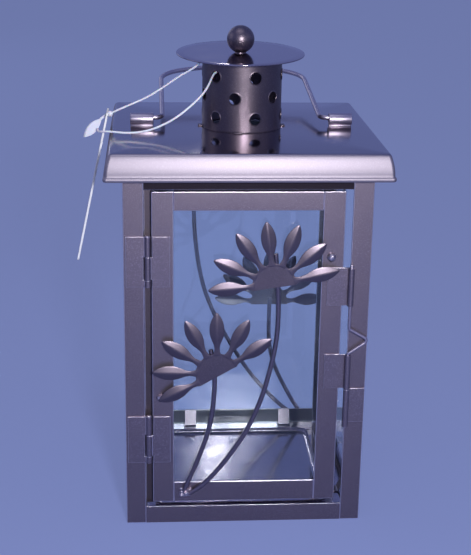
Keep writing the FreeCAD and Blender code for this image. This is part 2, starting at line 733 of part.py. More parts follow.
def hinge(name, bottom):
    """One butt hinge: a frame leaf with two knuckles, a door leaf with one, and the pin."""
    low_split = bottom + HINGE_HEIGHT * KNUCKLE_SPLIT_SHARES[0]
    high_split = bottom + HINGE_HEIGHT * KNUCKLE_SPLIT_SHARES[1]
    top = bottom + HINGE_HEIGHT
    half_gap = KNUCKLE_CLEARANCE / 2
    reach = KNUCKLE_RADIUS - KNUCKLE_WALL / 2
    leaf_front = FRONT - LEAF_SHEET
    frame_edge = HINGE_AXIS_X - KNUCKLE_RADIUS - HINGE_LEAF_GAP
    door_edge = HINGE_AXIS_X + KNUCKLE_RADIUS + HINGE_LEAF_GAP
    bore = column(
        HINGE_AXIS_X, HINGE_AXIS_Y, bottom - OVERRUN, top + OVERRUN, HINGE_PIN_RADIUS + RUNNING_CLEARANCE
    )

    frame_pieces = [block(frame_edge - HINGE_FRAME_LEAF, frame_edge, leaf_front, FRONT, bottom, top)]
    for low, high in ((bottom, low_split - half_gap), (high_split + half_gap, top)):
        frame_pieces.append(column(HINGE_AXIS_X, HINGE_AXIS_Y, low, high, KNUCKLE_RADIUS))
        frame_pieces.append(block(frame_edge, HINGE_AXIS_X - reach, leaf_front, FRONT, low, high))
    save(name + "_frame_leaf", fuse_all(frame_pieces).cut(bore))

    low = low_split + half_gap
    high = high_split - half_gap
    door_pieces = [
        block(door_edge, door_edge + HINGE_DOOR_LEAF, leaf_front, FRONT, bottom, top),
        column(HINGE_AXIS_X, HINGE_AXIS_Y, low, high, KNUCKLE_RADIUS),
        block(HINGE_AXIS_X + reach, door_edge, leaf_front, FRONT, low, high),
    ]
    save(name + "_door_leaf", fuse_all(door_pieces).cut(bore))

    pin = column(HINGE_AXIS_X, HINGE_AXIS_Y, bottom, top, HINGE_PIN_RADIUS)
    head = column(HINGE_AXIS_X, HINGE_AXIS_Y, top, top + HINGE_HEAD_HEIGHT, HINGE_HEAD_RADIUS)
    save(name + "_pin", fuse_all([pin, head]))


def latch_barrel(bottom, top):
    """Outside of a rolled barrel on the latch's axis."""
    return column(LATCH_AXIS_X, LATCH_AXIS_Y, bottom, top, LATCH_RADIUS)


def latch_bore():
    """Bore through all of the latch's barrels."""
    return column(LATCH_AXIS_X, LATCH_AXIS_Y, 0, FRAME_HEIGHT, LATCH_PIN_RADIUS + RUNNING_CLEARANCE)


def latch_eyes():
    """Two eyes on the door's right stile, each a leaf with a rolled barrel."""
    leaf_end = LATCH_AXIS_X - KNUCKLE_WALL / 2
    leaf_start = DOOR_HALF - LATCH_LEAF_INSET
    eyes = (
        ("latch_eye_lower", EYE_LOWER_BOTTOM, EYE_LOWER_HEIGHT),
        ("latch_eye_upper", EYE_UPPER_BOTTOM, EYE_UPPER_HEIGHT),
    )
    for name, bottom, height in eyes:
        leaf = block(leaf_start, leaf_end, FRONT - LEAF_SHEET, FRONT, bottom, bottom + height)
        save(name, fuse_all([leaf, latch_barrel(bottom, bottom + height)]).cut(latch_bore()))


def latch_keeper():
    """Keeper on the right post: a leaf with a rolled barrel that takes the pin's tail."""
    leaf_start = LATCH_AXIS_X + KNUCKLE_WALL / 2
    leaf_end = HALF - KEEPER_LEAF_END_GAP
    top = KEEPER_BOTTOM + KEEPER_HEIGHT
    leaf = block(leaf_start, leaf_end, FRONT - LEAF_SHEET, FRONT, top - KEEPER_LEAF_HEIGHT, top)
    save("latch_keeper", fuse_all([leaf, latch_barrel(KEEPER_BOTTOM, top)]).cut(latch_bore()))


def latch_pin():
    """Latch pin: a straight wire with a V-bend that the fingers lift."""
    tail = KEEPER_BOTTOM + KEEPER_HEIGHT - PIN_TAIL_IN_KEEPER
    grip_bottom = EYE_LOWER_BOTTOM + EYE_LOWER_HEIGHT + GRIP_BOTTOM_GAP
    grip_top = grip_bottom + GRIP_HEIGHT
    apex = grip_bottom + GRIP_HEIGHT * GRIP_APEX_SHARE
    head = EYE_UPPER_BOTTOM + EYE_UPPER_HEIGHT + PIN_HEAD_ABOVE_EYE
    points = [
        Vector(LATCH_AXIS_X, LATCH_AXIS_Y, head),
        Vector(LATCH_AXIS_X, LATCH_AXIS_Y, grip_top),
        Vector(LATCH_AXIS_X + GRIP_DEPTH, LATCH_AXIS_Y, apex),
        Vector(LATCH_AXIS_X, LATCH_AXIS_Y, grip_bottom),
        Vector(LATCH_AXIS_X, LATCH_AXIS_Y, tail),
    ]
    path, _ = bent_path(points, GRIP_BEND_RADIUS)
    save("latch_pin", tube_along(path, LATCH_PIN_RADIUS))


def flower_sheet():
    """Flat flower in the XY plane: a half-round hub and folded petals about +Y, its back at z 0."""
    length = FLOWER_TIP_RADIUS - PETAL_START_RADIUS
    middle = PETAL_START_RADIUS + length / 2
    rim = Part.Arc(
        Vector(PETAL_START_RADIUS, 0, 0),
        Vector(middle, PETAL_WIDTH / 2, 0),
        Vector(FLOWER_TIP_RADIUS, 0, 0),
    ).toShape()
    crease = Part.LineSegment(Vector(FLOWER_TIP_RADIUS, 0, 0), Vector(PETAL_START_RADIUS, 0, 0)).toShape()
    half = Part.Face(Part.Wire([rim, crease])).extrude(Vector(0, 0, FLOWER_SHEET))
    upper = turned(half, PETAL_FOLD_ANGLE, Vector(0, 0, 0), Vector(1, 0, 0))
    lower = upper.mirror(Vector(0, 0, 0), Vector(0, 1, 0))
    petal = fuse_all([upper, lower])
    hub = Part.makeCylinder(HUB_RADIUS, FLOWER_SHEET)
    off = block(-HUB_RADIUS, HUB_RADIUS, -HUB_RADIUS, -HUB_FLAT_DROP, -OVERRUN, OVERRUN)
    pieces = [hub.cut(off)]
    first = 90 - PETAL_SPACING_ANGLE * (PETAL_COUNT - 1) / 2
    for number in range(PETAL_COUNT):
        pieces.append(turned(petal, first + PETAL_SPACING_ANGLE * number))
    return fuse_all(pieces)


def side_place(shares):
    """X and z of a place on the front or the back."""
    across, up = shares
    return HALF * across, FRAME_HEIGHT * up


def place_flower(flower, place, lean, outward):
    """Stand a flower on the front (outward -1) or the back (outward 1) at its x and z, with its lean."""
    x, z = place
    local_angle = lean - 90 if outward < 0 else 90 - lean
    copy = turned(flower, local_angle)
    copy = turned(copy, 90, Vector(0, 0, 0), Vector(1, 0, 0))
    if outward > 0:
        copy = turned(copy, 180)
    copy.translate(Vector(x, FLOWER_OUT * outward, z))
    return copy


def stem(shares, end_shares, flower_place, weld_place, outward):
    """One wire stem, along its shares of the way from the flower to the weld, with its end in the weld."""
    start_x, start_z = flower_place
    weld_x, weld_z = weld_place
    points = []
    for across, down in shares:
        x = start_x + (weld_x - start_x) * across
        z = start_z + (weld_z - start_z) * down
        points.append(Vector(x, STEM_OUT * outward, z))
    across, up = end_shares
    points.append(Vector(weld_x + WELD_RADIUS * across, STEM_OUT * outward, weld_z + WELD_RADIUS * up))
    path, _ = bent_path(points)
    return tube_along(path, STEM_RADIUS)


def lug(place, height, outward):
    """Block that carries an outer petal on the metal behind it."""
    x, z = place
    near, far = sorted((HALF * outward, FLOWER_OUT * outward))
    half_width = LUG_WIDTH / 2
    return block(x - half_width, x + half_width, near, far, z - height / 2, z + height / 2)


def decoration(side, outward, flowers, stems, welds):
    """Two flowers, their stems, the bead that welds the stems and the lugs that carry the outer petals.

    flowers are the flowers' shares and lean angles, stems the routes' and ends' shares, and welds the bead's
    shares and the lugs' shares and heights.
    """
    flower_shares, lean_angles = flowers
    stem_shares, end_shares = stems
    weld_shares, lug_shares, lug_heights = welds
    flower = flower_sheet()
    weld_place = side_place(weld_shares)
    weld = Part.makeCone(
        WELD_RADIUS,
        WELD_TOP_RADIUS,
        FLOWER_OUT - HALF + FLOWER_SHEET / 2,
        Vector(weld_place[0], HALF * outward, weld_place[1]),
        Vector(0, outward, 0),
    )
    lugs = []
    for number, (level, length) in enumerate((("upper", "long"), ("lower", "short"))):
        place = side_place(flower_shares[number])
        save("flower_" + side + "_" + level, place_flower(flower, place, lean_angles[number], outward))
        rod = stem(stem_shares[number], end_shares[number], place, weld_place, outward)
        save("stem_" + side + "_" + length, rod)
        weld = weld.cut(rod)
        across, up = lug_shares[number]
        lug_place = (place[0] + FLOWER_TIP_RADIUS * across, place[1] + FLOWER_TIP_RADIUS * up)
        lugs.append(lug(lug_place, lug_heights[number], outward))
    save("welds_" + side, group(list(weld.Solids) + lugs))


def swing_tag():
    """Blank tag: a thin sheet that leans out, with a hole for the loop."""
    length = TAG_DOWN.Length
    sheet = Part.makeBox(TAG_SHEET, TAG_WIDTH, length, Vector(-TAG_SHEET / 2, -TAG_WIDTH / 2, -length))
    corners = [edge for edge in sheet.Edges if edge.Length < 2 * TAG_SHEET]
    sheet = sheet.makeFillet(TAG_CORNER_RADIUS, corners)
    sheet = turned(sheet, TAG_LEAN_ANGLE, Vector(0, 0, 0), Vector(0, 1, 0))
    sheet.translate(TAG_TOP)
    outward = Vector(-math.cos(math.radians(TAG_LEAN_ANGLE)), 0, math.sin(math.radians(TAG_LEAN_ANGLE)))
    hole = Part.makeCylinder(TAG_HOLE_RADIUS, 2 * OVERRUN, TAG_HOLE - outward * OVERRUN, outward)
    save("swing_tag", sheet.cut(hole))


def lock_point(shares):
    """A point of the loop's lock, from the tag's hole."""
    return TAG_HOLE + Vector(*shares) * LOCK_REACH


def loop_lock():
    """Lock of the loop: a bead inside the tag, a neck through its hole and a flat leaf outside."""
    bead_middle = lock_point(BEAD_SHARES)
    top = lock_point(LEAF_TOP_SHARES)
    tip = lock_point(LEAF_TIP_SHARES)
    pieces = [Part.makeSphere(BEAD_RADIUS, bead_middle)]
    for start, end in ((bead_middle, TAG_HOLE), (TAG_HOLE, top)):
        pieces.append(Part.makeCylinder(NECK_RADIUS, (end - start).Length, start, end - start))
        pieces.append(Part.makeSphere(NECK_RADIUS, end))
    along = tip - top
    along.normalize()
    side = Vector(*LEAF_SIDE_SHARES)
    side = side - along * side.dot(along)
    side.normalize()
    normal = along.cross(side)
    middle = (top + tip) / 2
    bulge = side * (LOCK_WIDTH / 2)
    outline = [
        Part.Arc(top, middle + bulge, tip).toShape(),
        Part.Arc(tip, middle - bulge, top).toShape(),
    ]
    leaf = Part.Face(Part.Wire(outline)).extrude(normal * LOCK_SHEET)
    leaf.translate(normal * (-LOCK_SHEET / 2))
    save("loop_lock", fuse_all(pieces + [leaf]))


def loop_strands():
    """The loop's two strands, each a round filament."""
    for name, route in (("loop_upper", LOOP_UPPER_ROUTE), ("loop_lower", LOOP_LOWER_ROUTE)):
        path, radii = bent_path([Vector(*point) for point in route])
        strand = tube_along(path, LOOP_RADIUS)
        save(name, strand)
        expected = math.pi * LOOP_RADIUS ** 2 * path.Length
        print(name, "length", round(path.Length, 1), "volume share", round(strand.Volume / expected, 4))
        print(name, "radii", [round(radius, 1) for radius in radii])


def main():
    """Write every sub-part of the lantern."""
    os.makedirs("parts", exist_ok=True)
    corner_posts()
    frame_rails()
    floor_and_tray()
    fixed_panes()
    pane_clips()
    lid()
    chimney()
    cap_parts()
    bail()
    bail_brackets()
    door_frame()
    door_pane()
    door_stop()
    hinge("hinge_lower", HINGE_LOWER_BOTTOM)
    hinge("hinge_upper", HINGE_UPPER_BOTTOM)
    latch_eyes()
    latch_keeper()
    latch_pin()
    decoration(
        "front",
        -1,
        (FRONT_FLOWER_SHARES, FRONT_LEAN_ANGLES),
        ((FRONT_LONG_STEM_SHARES, FRONT_SHORT_STEM_SHARES), FRONT_END_SHARES),
        (FRONT_WELD_SHARES, FRONT_LUG_SHARES, (TALL_LUG_HEIGHT, LUG_HEIGHT)),
    )
    decoration(
        "back",
        1,
        (BACK_FLOWER_SHARES, BACK_LEAN_ANGLES),
        ((BACK_LONG_STEM_SHARES, BACK_SHORT_STEM_SHARES), BACK_END_SHARES),
        (BACK_WELD_SHARES, BACK_LUG_SHARES, (LUG_HEIGHT, LUG_HEIGHT)),
    )
    swing_tag()
    loop_lock()
    loop_strands()


main()
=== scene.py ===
"""Square candle lantern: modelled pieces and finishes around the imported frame.

Names that end in _mm hold millimetres, and fields named for an angle hold degrees. All other lengths are in
metres.
"""

import logging
import math
from contextlib import contextmanager
from dataclasses import dataclass
from enum import Enum
from typing import Callable, Iterator, Sequence

import bmesh
import bpy
from mathutils import Matrix, Vector, noise


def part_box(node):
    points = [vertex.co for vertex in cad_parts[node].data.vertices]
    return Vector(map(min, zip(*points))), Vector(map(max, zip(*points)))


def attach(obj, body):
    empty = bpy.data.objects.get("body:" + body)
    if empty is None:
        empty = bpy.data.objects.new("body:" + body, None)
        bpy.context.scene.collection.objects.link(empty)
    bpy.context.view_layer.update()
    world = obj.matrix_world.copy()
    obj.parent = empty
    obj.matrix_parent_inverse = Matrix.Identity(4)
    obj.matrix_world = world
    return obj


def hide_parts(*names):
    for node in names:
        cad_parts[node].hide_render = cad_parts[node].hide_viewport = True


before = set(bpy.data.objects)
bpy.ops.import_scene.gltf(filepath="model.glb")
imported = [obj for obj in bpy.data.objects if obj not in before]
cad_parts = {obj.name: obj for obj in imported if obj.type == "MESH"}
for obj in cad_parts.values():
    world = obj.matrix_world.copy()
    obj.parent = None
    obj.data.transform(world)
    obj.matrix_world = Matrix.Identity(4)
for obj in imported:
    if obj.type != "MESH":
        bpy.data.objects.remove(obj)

MM = 0.001
# Points nearer to each other than this become one
MERGE = 0.002 * MM
# A point this near to a level counts as on it
NEAR = 0.05 * MM
LOG = logging.getLogger("lantern")
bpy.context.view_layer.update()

Piece = bpy.types.Object
Tree = bpy.types.NodeTree
Pair = tuple[float, float]
Point = tuple[float, float, float]


class Body(Enum):
    """The bodies that the pieces ride on."""

    FRAME = "lantern_frame"
    DOOR = "door"
    LATCH = "latch"
    BAIL = "bail"


class Slot(Enum):
    """The record's material slots."""

    FRAME = "frame_lacquer"
    FLOWER = "flower_lacquer"
    LID = "lid_lacquer"
    BRIGHT = "bright_lacquer"
    PLATED = "plated_steel"
    GLASS = "glass"
    CARD = "tag_card"
    LOOP = "loop_plastic"


class Side(Enum):
    """The two sides that carry flowers, by the way that they face along Y."""

    FRONT = -1
    BACK = 1


def metres(point: Sequence[float]) -> Vector:
    """A point in millimetres as a vector in metres."""
    return Vector(point) * MM


def linear(hex_colour: str) -> tuple[float, float, float, float]:
    """Turn an sRGB hex colour to linear light.

    Args:
        hex_colour: Six hex digits after a hash sign.

    Returns:
        Red, green, blue and an alpha of 1.
    """
    parts = []
    for start in (1, 3, 5):
        value = int(hex_colour[start : start + 2], 16) / 255
        parts.append(value / 12.92 if value <= 0.04045 else ((value + 0.055) / 1.055) ** 2.4)
    return (parts[0], parts[1], parts[2], 1.0)


def add_node(tree: Tree, kind: str, inputs: dict | None = None, **settings: object) -> bpy.types.Node:
    """Add a node with its settings and links.

    Args:
        tree: The node tree to add it to.
        kind: Blender's name for the kind of node.
        inputs: Values or source sockets by the name or number of the input.
        settings: The node's own properties.

    Returns:
        The new node.
    """
    node = tree.nodes.new(kind)
    for key, value in settings.items():
        setattr(node, key, value)
    for key, value in (inputs or {}).items():
        if isinstance(value, bpy.types.NodeSocket):
            tree.links.new(value, node.inputs[key])
        else:
            node.inputs[key].default_value = value
    return node


def new_material(name: str) -> tuple[bpy.types.Material, Tree]:
    """Make an empty node material.

    Args:
        name: The material's name.

    Returns:
        The material and its node tree.
    """
    material = bpy.data.materials.new(name)
    material.use_nodes = True
    material.node_tree.nodes.clear()
    return material, material.node_tree


@dataclass(frozen=True)
class PewterLacquer:
    """Steel sheet sprayed with pewter metallic lacquer, which shows fine flecks and an orange-peel gloss."""

    name: str
    base: str
    fleck: str
    roughness: float
    roughness_spread: float = 0.05
    fleck_mm: float = 0.55
    fleck_from: float = 0.52
    fleck_to: float = 0.7
    cloud_mm: float = 14.0
    cloud_from: float = 0.3
    cloud_to: float = 0.7
    peel_mm: float = 1.6
    peel_height_mm: float = 0.006
    wave_mm: float = 38.0
    wave_height_mm: float = 0.02
    # Below this height, past a short edge, the coat is brushed to at least the satin roughness
    satin_below_mm: float = 0.0
    satin_edge_mm: float = 0.6
    satin: float = 0.3

    def material(self) -> bpy.types.Material:
        """Make the lacquer's node material.

        Returns:
            The material.
        """
        material, tree = new_material(self.name)
        place = add_node(tree, "ShaderNodeTexCoord").outputs["Object"]
        flecks, clouds, peel, waves = (
            add_node(
                tree,
                "ShaderNodeTexNoise",
                {"Vector": place, "Scale": 1 / (size_mm * MM), "Detail": detail, "Roughness": raggedness},
            ).outputs["Fac"]
            for size_mm, detail, raggedness in (
                (self.fleck_mm, 2.0, 0.6),
                (self.cloud_mm, 3.0, 0.55),
                (self.peel_mm, 2.0, 0.5),
                (self.wave_mm, 1.0, 0.5),
            )
        )
        mask = add_node(
            tree,
            "ShaderNodeMapRange",
            {"Value": flecks, "From Min": self.fleck_from, "From Max": self.fleck_to},
            clamp=True,
        )
        colour = add_node(
            tree,
            "ShaderNodeMix",
            {"Factor": mask.outputs["Result"], "A": linear(self.base), "B": linear(self.fleck)},
            data_type="RGBA",
        )
        gloss = add_node(
            tree,
            "ShaderNodeMapRange",
            {
                "Value": clouds,
                "From Min": self.cloud_from,
                "From Max": self.cloud_to,
                "To Min": self.roughness - self.roughness_spread,
                "To Max": self.roughness + self.roughness_spread,
            },
            clamp=True,
        )
        height = add_node(tree, "ShaderNodeSeparateXYZ", {"Vector": place})
        satin = add_node(
            tree,
            "ShaderNodeMapRange",
            {
                "Value": height.outputs["Z"],
                "From Min": (self.satin_below_mm - self.satin_edge_mm) * MM,
                "From Max": self.satin_below_mm * MM,
                "To Min": self.satin,
                "To Max": 0.0,
            },
            clamp=True,
        )
        rough = add_node(
            tree,
            "ShaderNodeMath",
            {0: gloss.outputs["Result"], 1: satin.outputs["Result"]},
            operation="MAXIMUM",
        )
        wavy = add_node(
            tree, "ShaderNodeBump", {"Height": waves, "Distance": self.wave_height_mm * MM, "Strength": 1.0}
        )
        bump = add_node(
            tree,
            "ShaderNodeBump",
            {
                "Height": peel,
                "Distance": self.peel_height_mm * MM,
                "Strength": 1.0,
                "Normal": wavy.outputs["Normal"],
            },
        )
        shader = add_node(
            tree,
            "ShaderNodeBsdfPrincipled",
            {
                "Base Color": colour.outputs["Result"],
                "Metallic": 1.0,
                "Roughness": rough.outputs["Value"],
                "Normal": bump.outputs["Normal"],
            },
        )
        add_node(tree, "ShaderNodeOutputMaterial", {"Surface": shader.outputs["BSDF"]})
        return material


@dataclass(frozen=True)
class WindowGlass:
    """Clear float glass, with the faint haze of handling that dulls a few patches of its gloss."""

    name: str
    tint: str
    passed: str = "#EEF4F4"
    haze: float = 0.03
    haze_mm: float = 22.0
    haze_from: float = 0.55
    haze_to: float = 0.75

    def material(self) -> bpy.types.Material:
        """Make the glass's node material, which lets the lamps' light straight through.

        Returns:
            The material.
        """
        material, tree = new_material(self.name)
        place = add_node(tree, "ShaderNodeTexCoord").outputs["Object"]
        smudge = add_node(
            tree, "ShaderNodeTexNoise", {"Vector": place, "Scale": 1 / (self.haze_mm * MM), "Detail": 3.0}
        )
        rough = add_node(
            tree,
            "ShaderNodeMapRange",
            {
                "Value": smudge.outputs["Fac"],
                "From Min": self.haze_from,
                "From Max": self.haze_to,
                "To Max": self.haze,
            },
            clamp=True,
        )
        shader = add_node(
            tree,
            "ShaderNodeBsdfPrincipled",
            {
                "Base Color": linear(self.tint),
                "Roughness": rough.outputs["Result"],
                "IOR": 1.5,
                "Transmission Weight": 1.0,
            },
        )
        passed = add_node(tree, "ShaderNodeBsdfTransparent", {"Color": linear(self.passed)})
        path = add_node(tree, "ShaderNodeLightPath")
        mixed = add_node(
            tree,
            "ShaderNodeMixShader",
            {"Fac": path.outputs["Is Shadow Ray"], 1: shader.outputs["BSDF"], 2: passed.outputs["BSDF"]},
        )
        add_node(tree, "ShaderNodeOutputMaterial", {"Surface": mixed.outputs["Shader"]})
        return material


@dataclass(frozen=True)
class FineGrain:
    """Plastic, card or plating with a little grain, by its colour, gloss and grain size."""

    name: str
    colour: str
    shade: str
    roughness: float
    grain_mm: float
    metallic: float = 0.0
    subsurface: float = 0.0
    grain_height_mm: float = 0.01

    def material(self) -> bpy.types.Material:
        """Make the node material.

        Returns:
            The material.
        """
        material, tree = new_material(self.name)
        place = add_node(tree, "ShaderNodeTexCoord").outputs["Object"]
        grain = add_node(
            tree, "ShaderNodeTexNoise", {"Vector": place, "Scale": 1 / (self.grain_mm * MM), "Detail": 3.0}
        ).outputs["Fac"]
        colour = add_node(
            tree,
            "ShaderNodeMix",
            {"Factor": grain, "A": linear(self.colour), "B": linear(self.shade)},
            data_type="RGBA",
        )
        bump = add_node(
            tree, "ShaderNodeBump", {"Height": grain, "Distance": self.grain_height_mm * MM, "Strength": 1.0}
        )
        shader = add_node(
            tree,
            "ShaderNodeBsdfPrincipled",
            {
                "Base Color": colour.outputs["Result"],
                "Roughness": self.roughness,
                "Metallic": self.metallic,
                "Subsurface Weight": self.subsurface,
                "Subsurface Scale": MM,
                "Normal": bump.outputs["Normal"],
            },
        )
        add_node(tree, "ShaderNodeOutputMaterial", {"Surface": shader.outputs["BSDF"]})
        return material


class Finish(Enum):
    """The finishes, each with the record's slot that it belongs to and the material that it makes."""

    # Rolled steel sheet under a sprayed pewter lacquer: the eye sees a grey violet metal with a soft, wide sheen.
    # The metal flakes in the lacquer are some 0.05 mm, too fine to show here, so every lacquer's flecks are drawn
    # about ten times as coarse.
    SHEET = (Slot.FRAME, PewterLacquer("pewter_lacquer_satin", "#7A6F7A", "#9A8F9A", 0.44, 0.02))
    # The same sheet up under the lid and under the cap's disc, darkened as painted shadow: dull and nearly black.
    THIN = (Slot.FRAME, PewterLacquer("pewter_lacquer_painted_shadow", "#2C262E", "#39333B", 0.55, 0.02))
    # The strip behind the hinge gap, darkened as painted shade of the deep gap: darker than the posts and matt.
    SHADED = (Slot.FRAME, PewterLacquer("pewter_lacquer_shaded", "#5C535C", "#6A616B", 0.5, 0.02))
    # Stamped hinge and latch leaves, sprayed flat before they were fitted: a shade lighter than the posts.
    HINGE = (Slot.FRAME, PewterLacquer("pewter_lacquer_hinge", "#857983", "#A0949F", 0.4, 0.02))
    # Drawn wire and rolled strip that hands and running joints keep bright: pale, with long narrow highlights.
    BURNISHED = (Slot.FRAME, PewterLacquer("pewter_lacquer_burnished", "#AEA3AF", "#C2B8C4", 0.34, 0.02))
    # Rolled tube and turned ball under a thicker coat: darker, with a smooth highlight along the curve.
    ROLLED = (Slot.FRAME, PewterLacquer("pewter_lacquer_rolled", "#6E636B", "#857982", 0.38, 0.02))
    # Sheet edges where the lacquer is rubbed through to bare steel, made pale also as a painted highlight along
    # every rounded edge: thin silvery lines. It also paints the tray's reflection on the back rail's face behind
    # the tray.
    WORN_AND_GLINT = (Slot.FRAME, PewterLacquer("pewter_lacquer_rubbed_and_glint", "#D8D0DA", "#ECE4EC", 0.32, 0.03))
    # Die-stamped flowers: the coat follows a slightly wavy sheet, so the sheen breaks up from petal to petal.
    STAMPED = (
        Slot.FLOWER,
        PewterLacquer("pewter_lacquer_stamped", "#6C626C", "#7A707A", 0.39, 0.02, wave_mm=9.0),
    )
    # Drawn wire of the stems: round and smooth, with one thin highlight down its length.
    WIRE = (Slot.FLOWER, PewterLacquer("pewter_lacquer_drawn", "#7F747E", "#958A94", 0.3, 0.02))
    # Weld beads and rivet heads, cooled from molten metal: shiny and lumpy, with small bright specks.
    BEAD = (Slot.FLOWER, PewterLacquer("pewter_lacquer_beaded", "#C0B6C0", "#D6CCD7", 0.36, 0.03))
    # The pressed lid, polished before its coat: its top mirrors chimney and tag, its brushed skirt only glows.
    LID = (
        Slot.LID,
        PewterLacquer(
            "pewter_lacquer_gloss",
            "#988F98",
            "#A49BA4",
            0.12,
            0.03,
            peel_height_mm=0.002,
            satin_below_mm=230.6,
            satin=0.52,
        ),
    )
    # The smoke cap and the floor plate, polished flat blanks: nearly mirrors, a little wavy.
    POLISHED = (
        Slot.BRIGHT,
        PewterLacquer("pewter_lacquer_polished", "#A297A3", "#AEA3AF", 0.11, 0.02, peel_height_mm=0.004),
    )
    # The candle tray's glossy coat has orange peel, which breaks its mirror image into bright grains.
    TRAY = (
        Slot.BRIGHT,
        PewterLacquer("pewter_lacquer_tray", "#A297A3", "#AEA3AF", 0.12, 0.03, peel_height_mm=0.02),
    )
    # Machined stud and nut, zinc plated: neutral grey, clouded by the crystals of the plating.
    PLATED = (Slot.PLATED, FineGrain("zinc_plated_steel", "#A9ACB2", "#8C9096", 0.3, 2.0, metallic=1.0))
    # Float glass: clear and flat, with its edges ground and patches of handling haze.
    GLASS = (Slot.GLASS, WindowGlass("clear_float_glass", "#F4FAFA"))
    # Coated white card, folded and pressed: smooth, half gloss, with a trace of fibre.
    CARD = (Slot.CARD, FineGrain("coated_card", "#F6F6FE", "#ECECF6", 0.45, 1.2))
    # Moulded nylon of the tag's loop: milky, so that light softens inside it, with a waxy gloss.
    LOOP = (Slot.LOOP, FineGrain("milky_nylon", "#E9EBFC", "#DDE0F4", 0.3, 3.0, subsurface=0.2))


class Finisher:
    """Keeps one material for each finish and gives it to the pieces."""

    def __init__(self) -> None:
        """Make the materials."""
        self.materials = {finish: finish.value[1].material() for finish in Finish}

    def dress(self, piece: Piece, finish: Finish, body: Body, *nodes: str) -> Piece:
        """Give a piece its material, the body that it rides on and the nodes that it stands for.

        A lacquered piece has a second material for its rounded edges, where the coat is rubbed bright and a
        painted highlight lines the edge.

        Args:
            piece: The finished piece.
            finish: The piece's finish.
            body: The body that carries the piece.
            nodes: The CAD nodes that the piece replaces.

        Returns:
            The piece.
        """
        rubbed_and_glinting = [face.material_index for face in getattr(piece.data, "polygons", [])]
        piece.data.materials.clear()
        slot, maker = finish.value
        piece.data.materials.append(self.materials[finish])
        if isinstance(maker, PewterLacquer):
            piece.data.materials.append(self.materials[Finish.WORN_AND_GLINT])
            for face, index in zip(piece.data.polygons, rubbed_and_glinting):
                face.material_index = index
        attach(piece, body.value)
        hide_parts(*nodes)
        LOG.info("%s rides on %s", piece.name, body.value)
        return piece

    def dress_copy(self, node: str, edge_mm: float, finish: Finish, body: Body, segments: int = 2) -> Piece:
        """Dress a round-edged copy of a CAD node, which replaces that node.

        Args:
            node: The CAD node's name.
            edge_mm: How wide the rounding of an edge is.
            finish: The copy's finish.
            body: The body that carries the copy.
            segments: The faces across the rounding.

        Returns:
            The copy.
        """
        return self.dress(rounded_copy(node, edge_mm, segments), finish, body, node)


def new_object(name: str, data: bpy.types.ID) -> Piece:
    """Put a new object into the scene.

    Args:
        name: The object's name.
        data: Its mesh, curve, lamp or camera.

    Returns:
        The object.
    """
    piece = bpy.data.objects.new(name, data)
    bpy.context.scene.collection.objects.link(piece)
    return piece


def activate(piece: Piece) -> None:
    """Make a piece the only selected and the active object.

    Args:
        piece: The piece.
    """
    for other in bpy.context.selected_objects:
        other.select_set(False)
    piece.select_set(True)
    bpy.context.view_layer.objects.active = piece


def added(name: str) -> Piece:
    """Name the primitive that was just added, and put its place and turn into its mesh.

    Args:
        name: The new name.

    Returns:
        The piece.
    """
    piece = bpy.context.object
    piece.name = name
    piece.data.name = name
    activate(piece)
    bpy.ops.object.transform_apply(location=True, rotation=True, scale=True)
    return piece


@contextmanager
def editing(piece: Piece) -> Iterator[None]:
    """Edit mode on one piece.

    Args:
        piece: The piece.

    Yields:
        Nothing, while edit mode is on.
    """
    activate(piece)
    bpy.ops.object.mode_set(mode="EDIT")
    try:
        yield
    finally:
        bpy.ops.object.mode_set(mode="OBJECT")


def select_all() -> None:
    """Select the whole mesh in edit mode."""
    bpy.ops.mesh.select_all(action="SELECT")


def select_points(piece: Piece, test: Callable[[Vector], bool]) -> None:
    """Select the points of a piece in edit mode that pass a test of their place.

    Args:
        piece: The piece.
        test: Says of a point's place whether the point is wanted.
    """
    bpy.ops.mesh.select_mode(type="VERT")
    mesh = bmesh.from_edit_mesh(piece.data)
    for vertex in mesh.verts:
        vertex.select = test(vertex.co)
    mesh.select_flush_mode()
    bmesh.update_edit_mesh(piece.data)


def select_rim(piece: Piece, test: Callable[[Vector], bool] = lambda place: True) -> None:
    """Select the open edges of a piece in edit mode whose ends pass a test of their place.

    Args:
        piece: The piece.
        test: Says of an end's place whether the edge is wanted.
    """
    bpy.ops.mesh.select_mode(type="EDGE")
    mesh = bmesh.from_edit_mesh(piece.data)
    for edge in mesh.edges:
        edge.select = len(edge.link_faces) < 2 and all(test(vertex.co) for vertex in edge.verts)
    mesh.select_flush_mode()
    bmesh.update_edit_mesh(piece.data)


def extrude(offset: Sequence[float]) -> None:
    """Extrude what is selected in edit mode by an offset in metres."""
    bpy.ops.mesh.extrude_region_move(TRANSFORM_OT_translate={"value": offset})


def extrude_ring(before: Pair, after: Pair) -> None:
    """Extrude the selected ring round Z to another half width and height.

    Args:
        before: The ring's half width and height now, in metres.
        after: The new ring's half width and height.
    """
    extrude((0, 0, after[1] - before[1]))
    share = after[0] / before[0]
    bpy.ops.transform.resize(value=(share, share, 1), center_override=(0, 0, 0))


def turn_outwards(merge: float = 0.0) -> None:
    """Turn all faces outwards in edit mode.

    Args:
        merge: Points nearer to each other than this, in metres, become one first.
    """
    select_all()
    if merge:
        bpy.ops.mesh.remove_doubles(threshold=merge)
    bpy.ops.mesh.normals_make_consistent(inside=False)


def modify(piece: Piece, kind: str, **settings: object) -> None:
    """Add a modifier with its settings and apply it.

    Args:
        piece: The piece.
        kind: Blender's name for the kind of modifier.
        settings: The modifier's own properties.
    """
    activate(piece)
    modifier = piece.modifiers.new(kind.lower(), kind)
    for key, value in settings.items():
        setattr(modifier, key, value)
    bpy.ops.object.modifier_apply(modifier=modifier.name)


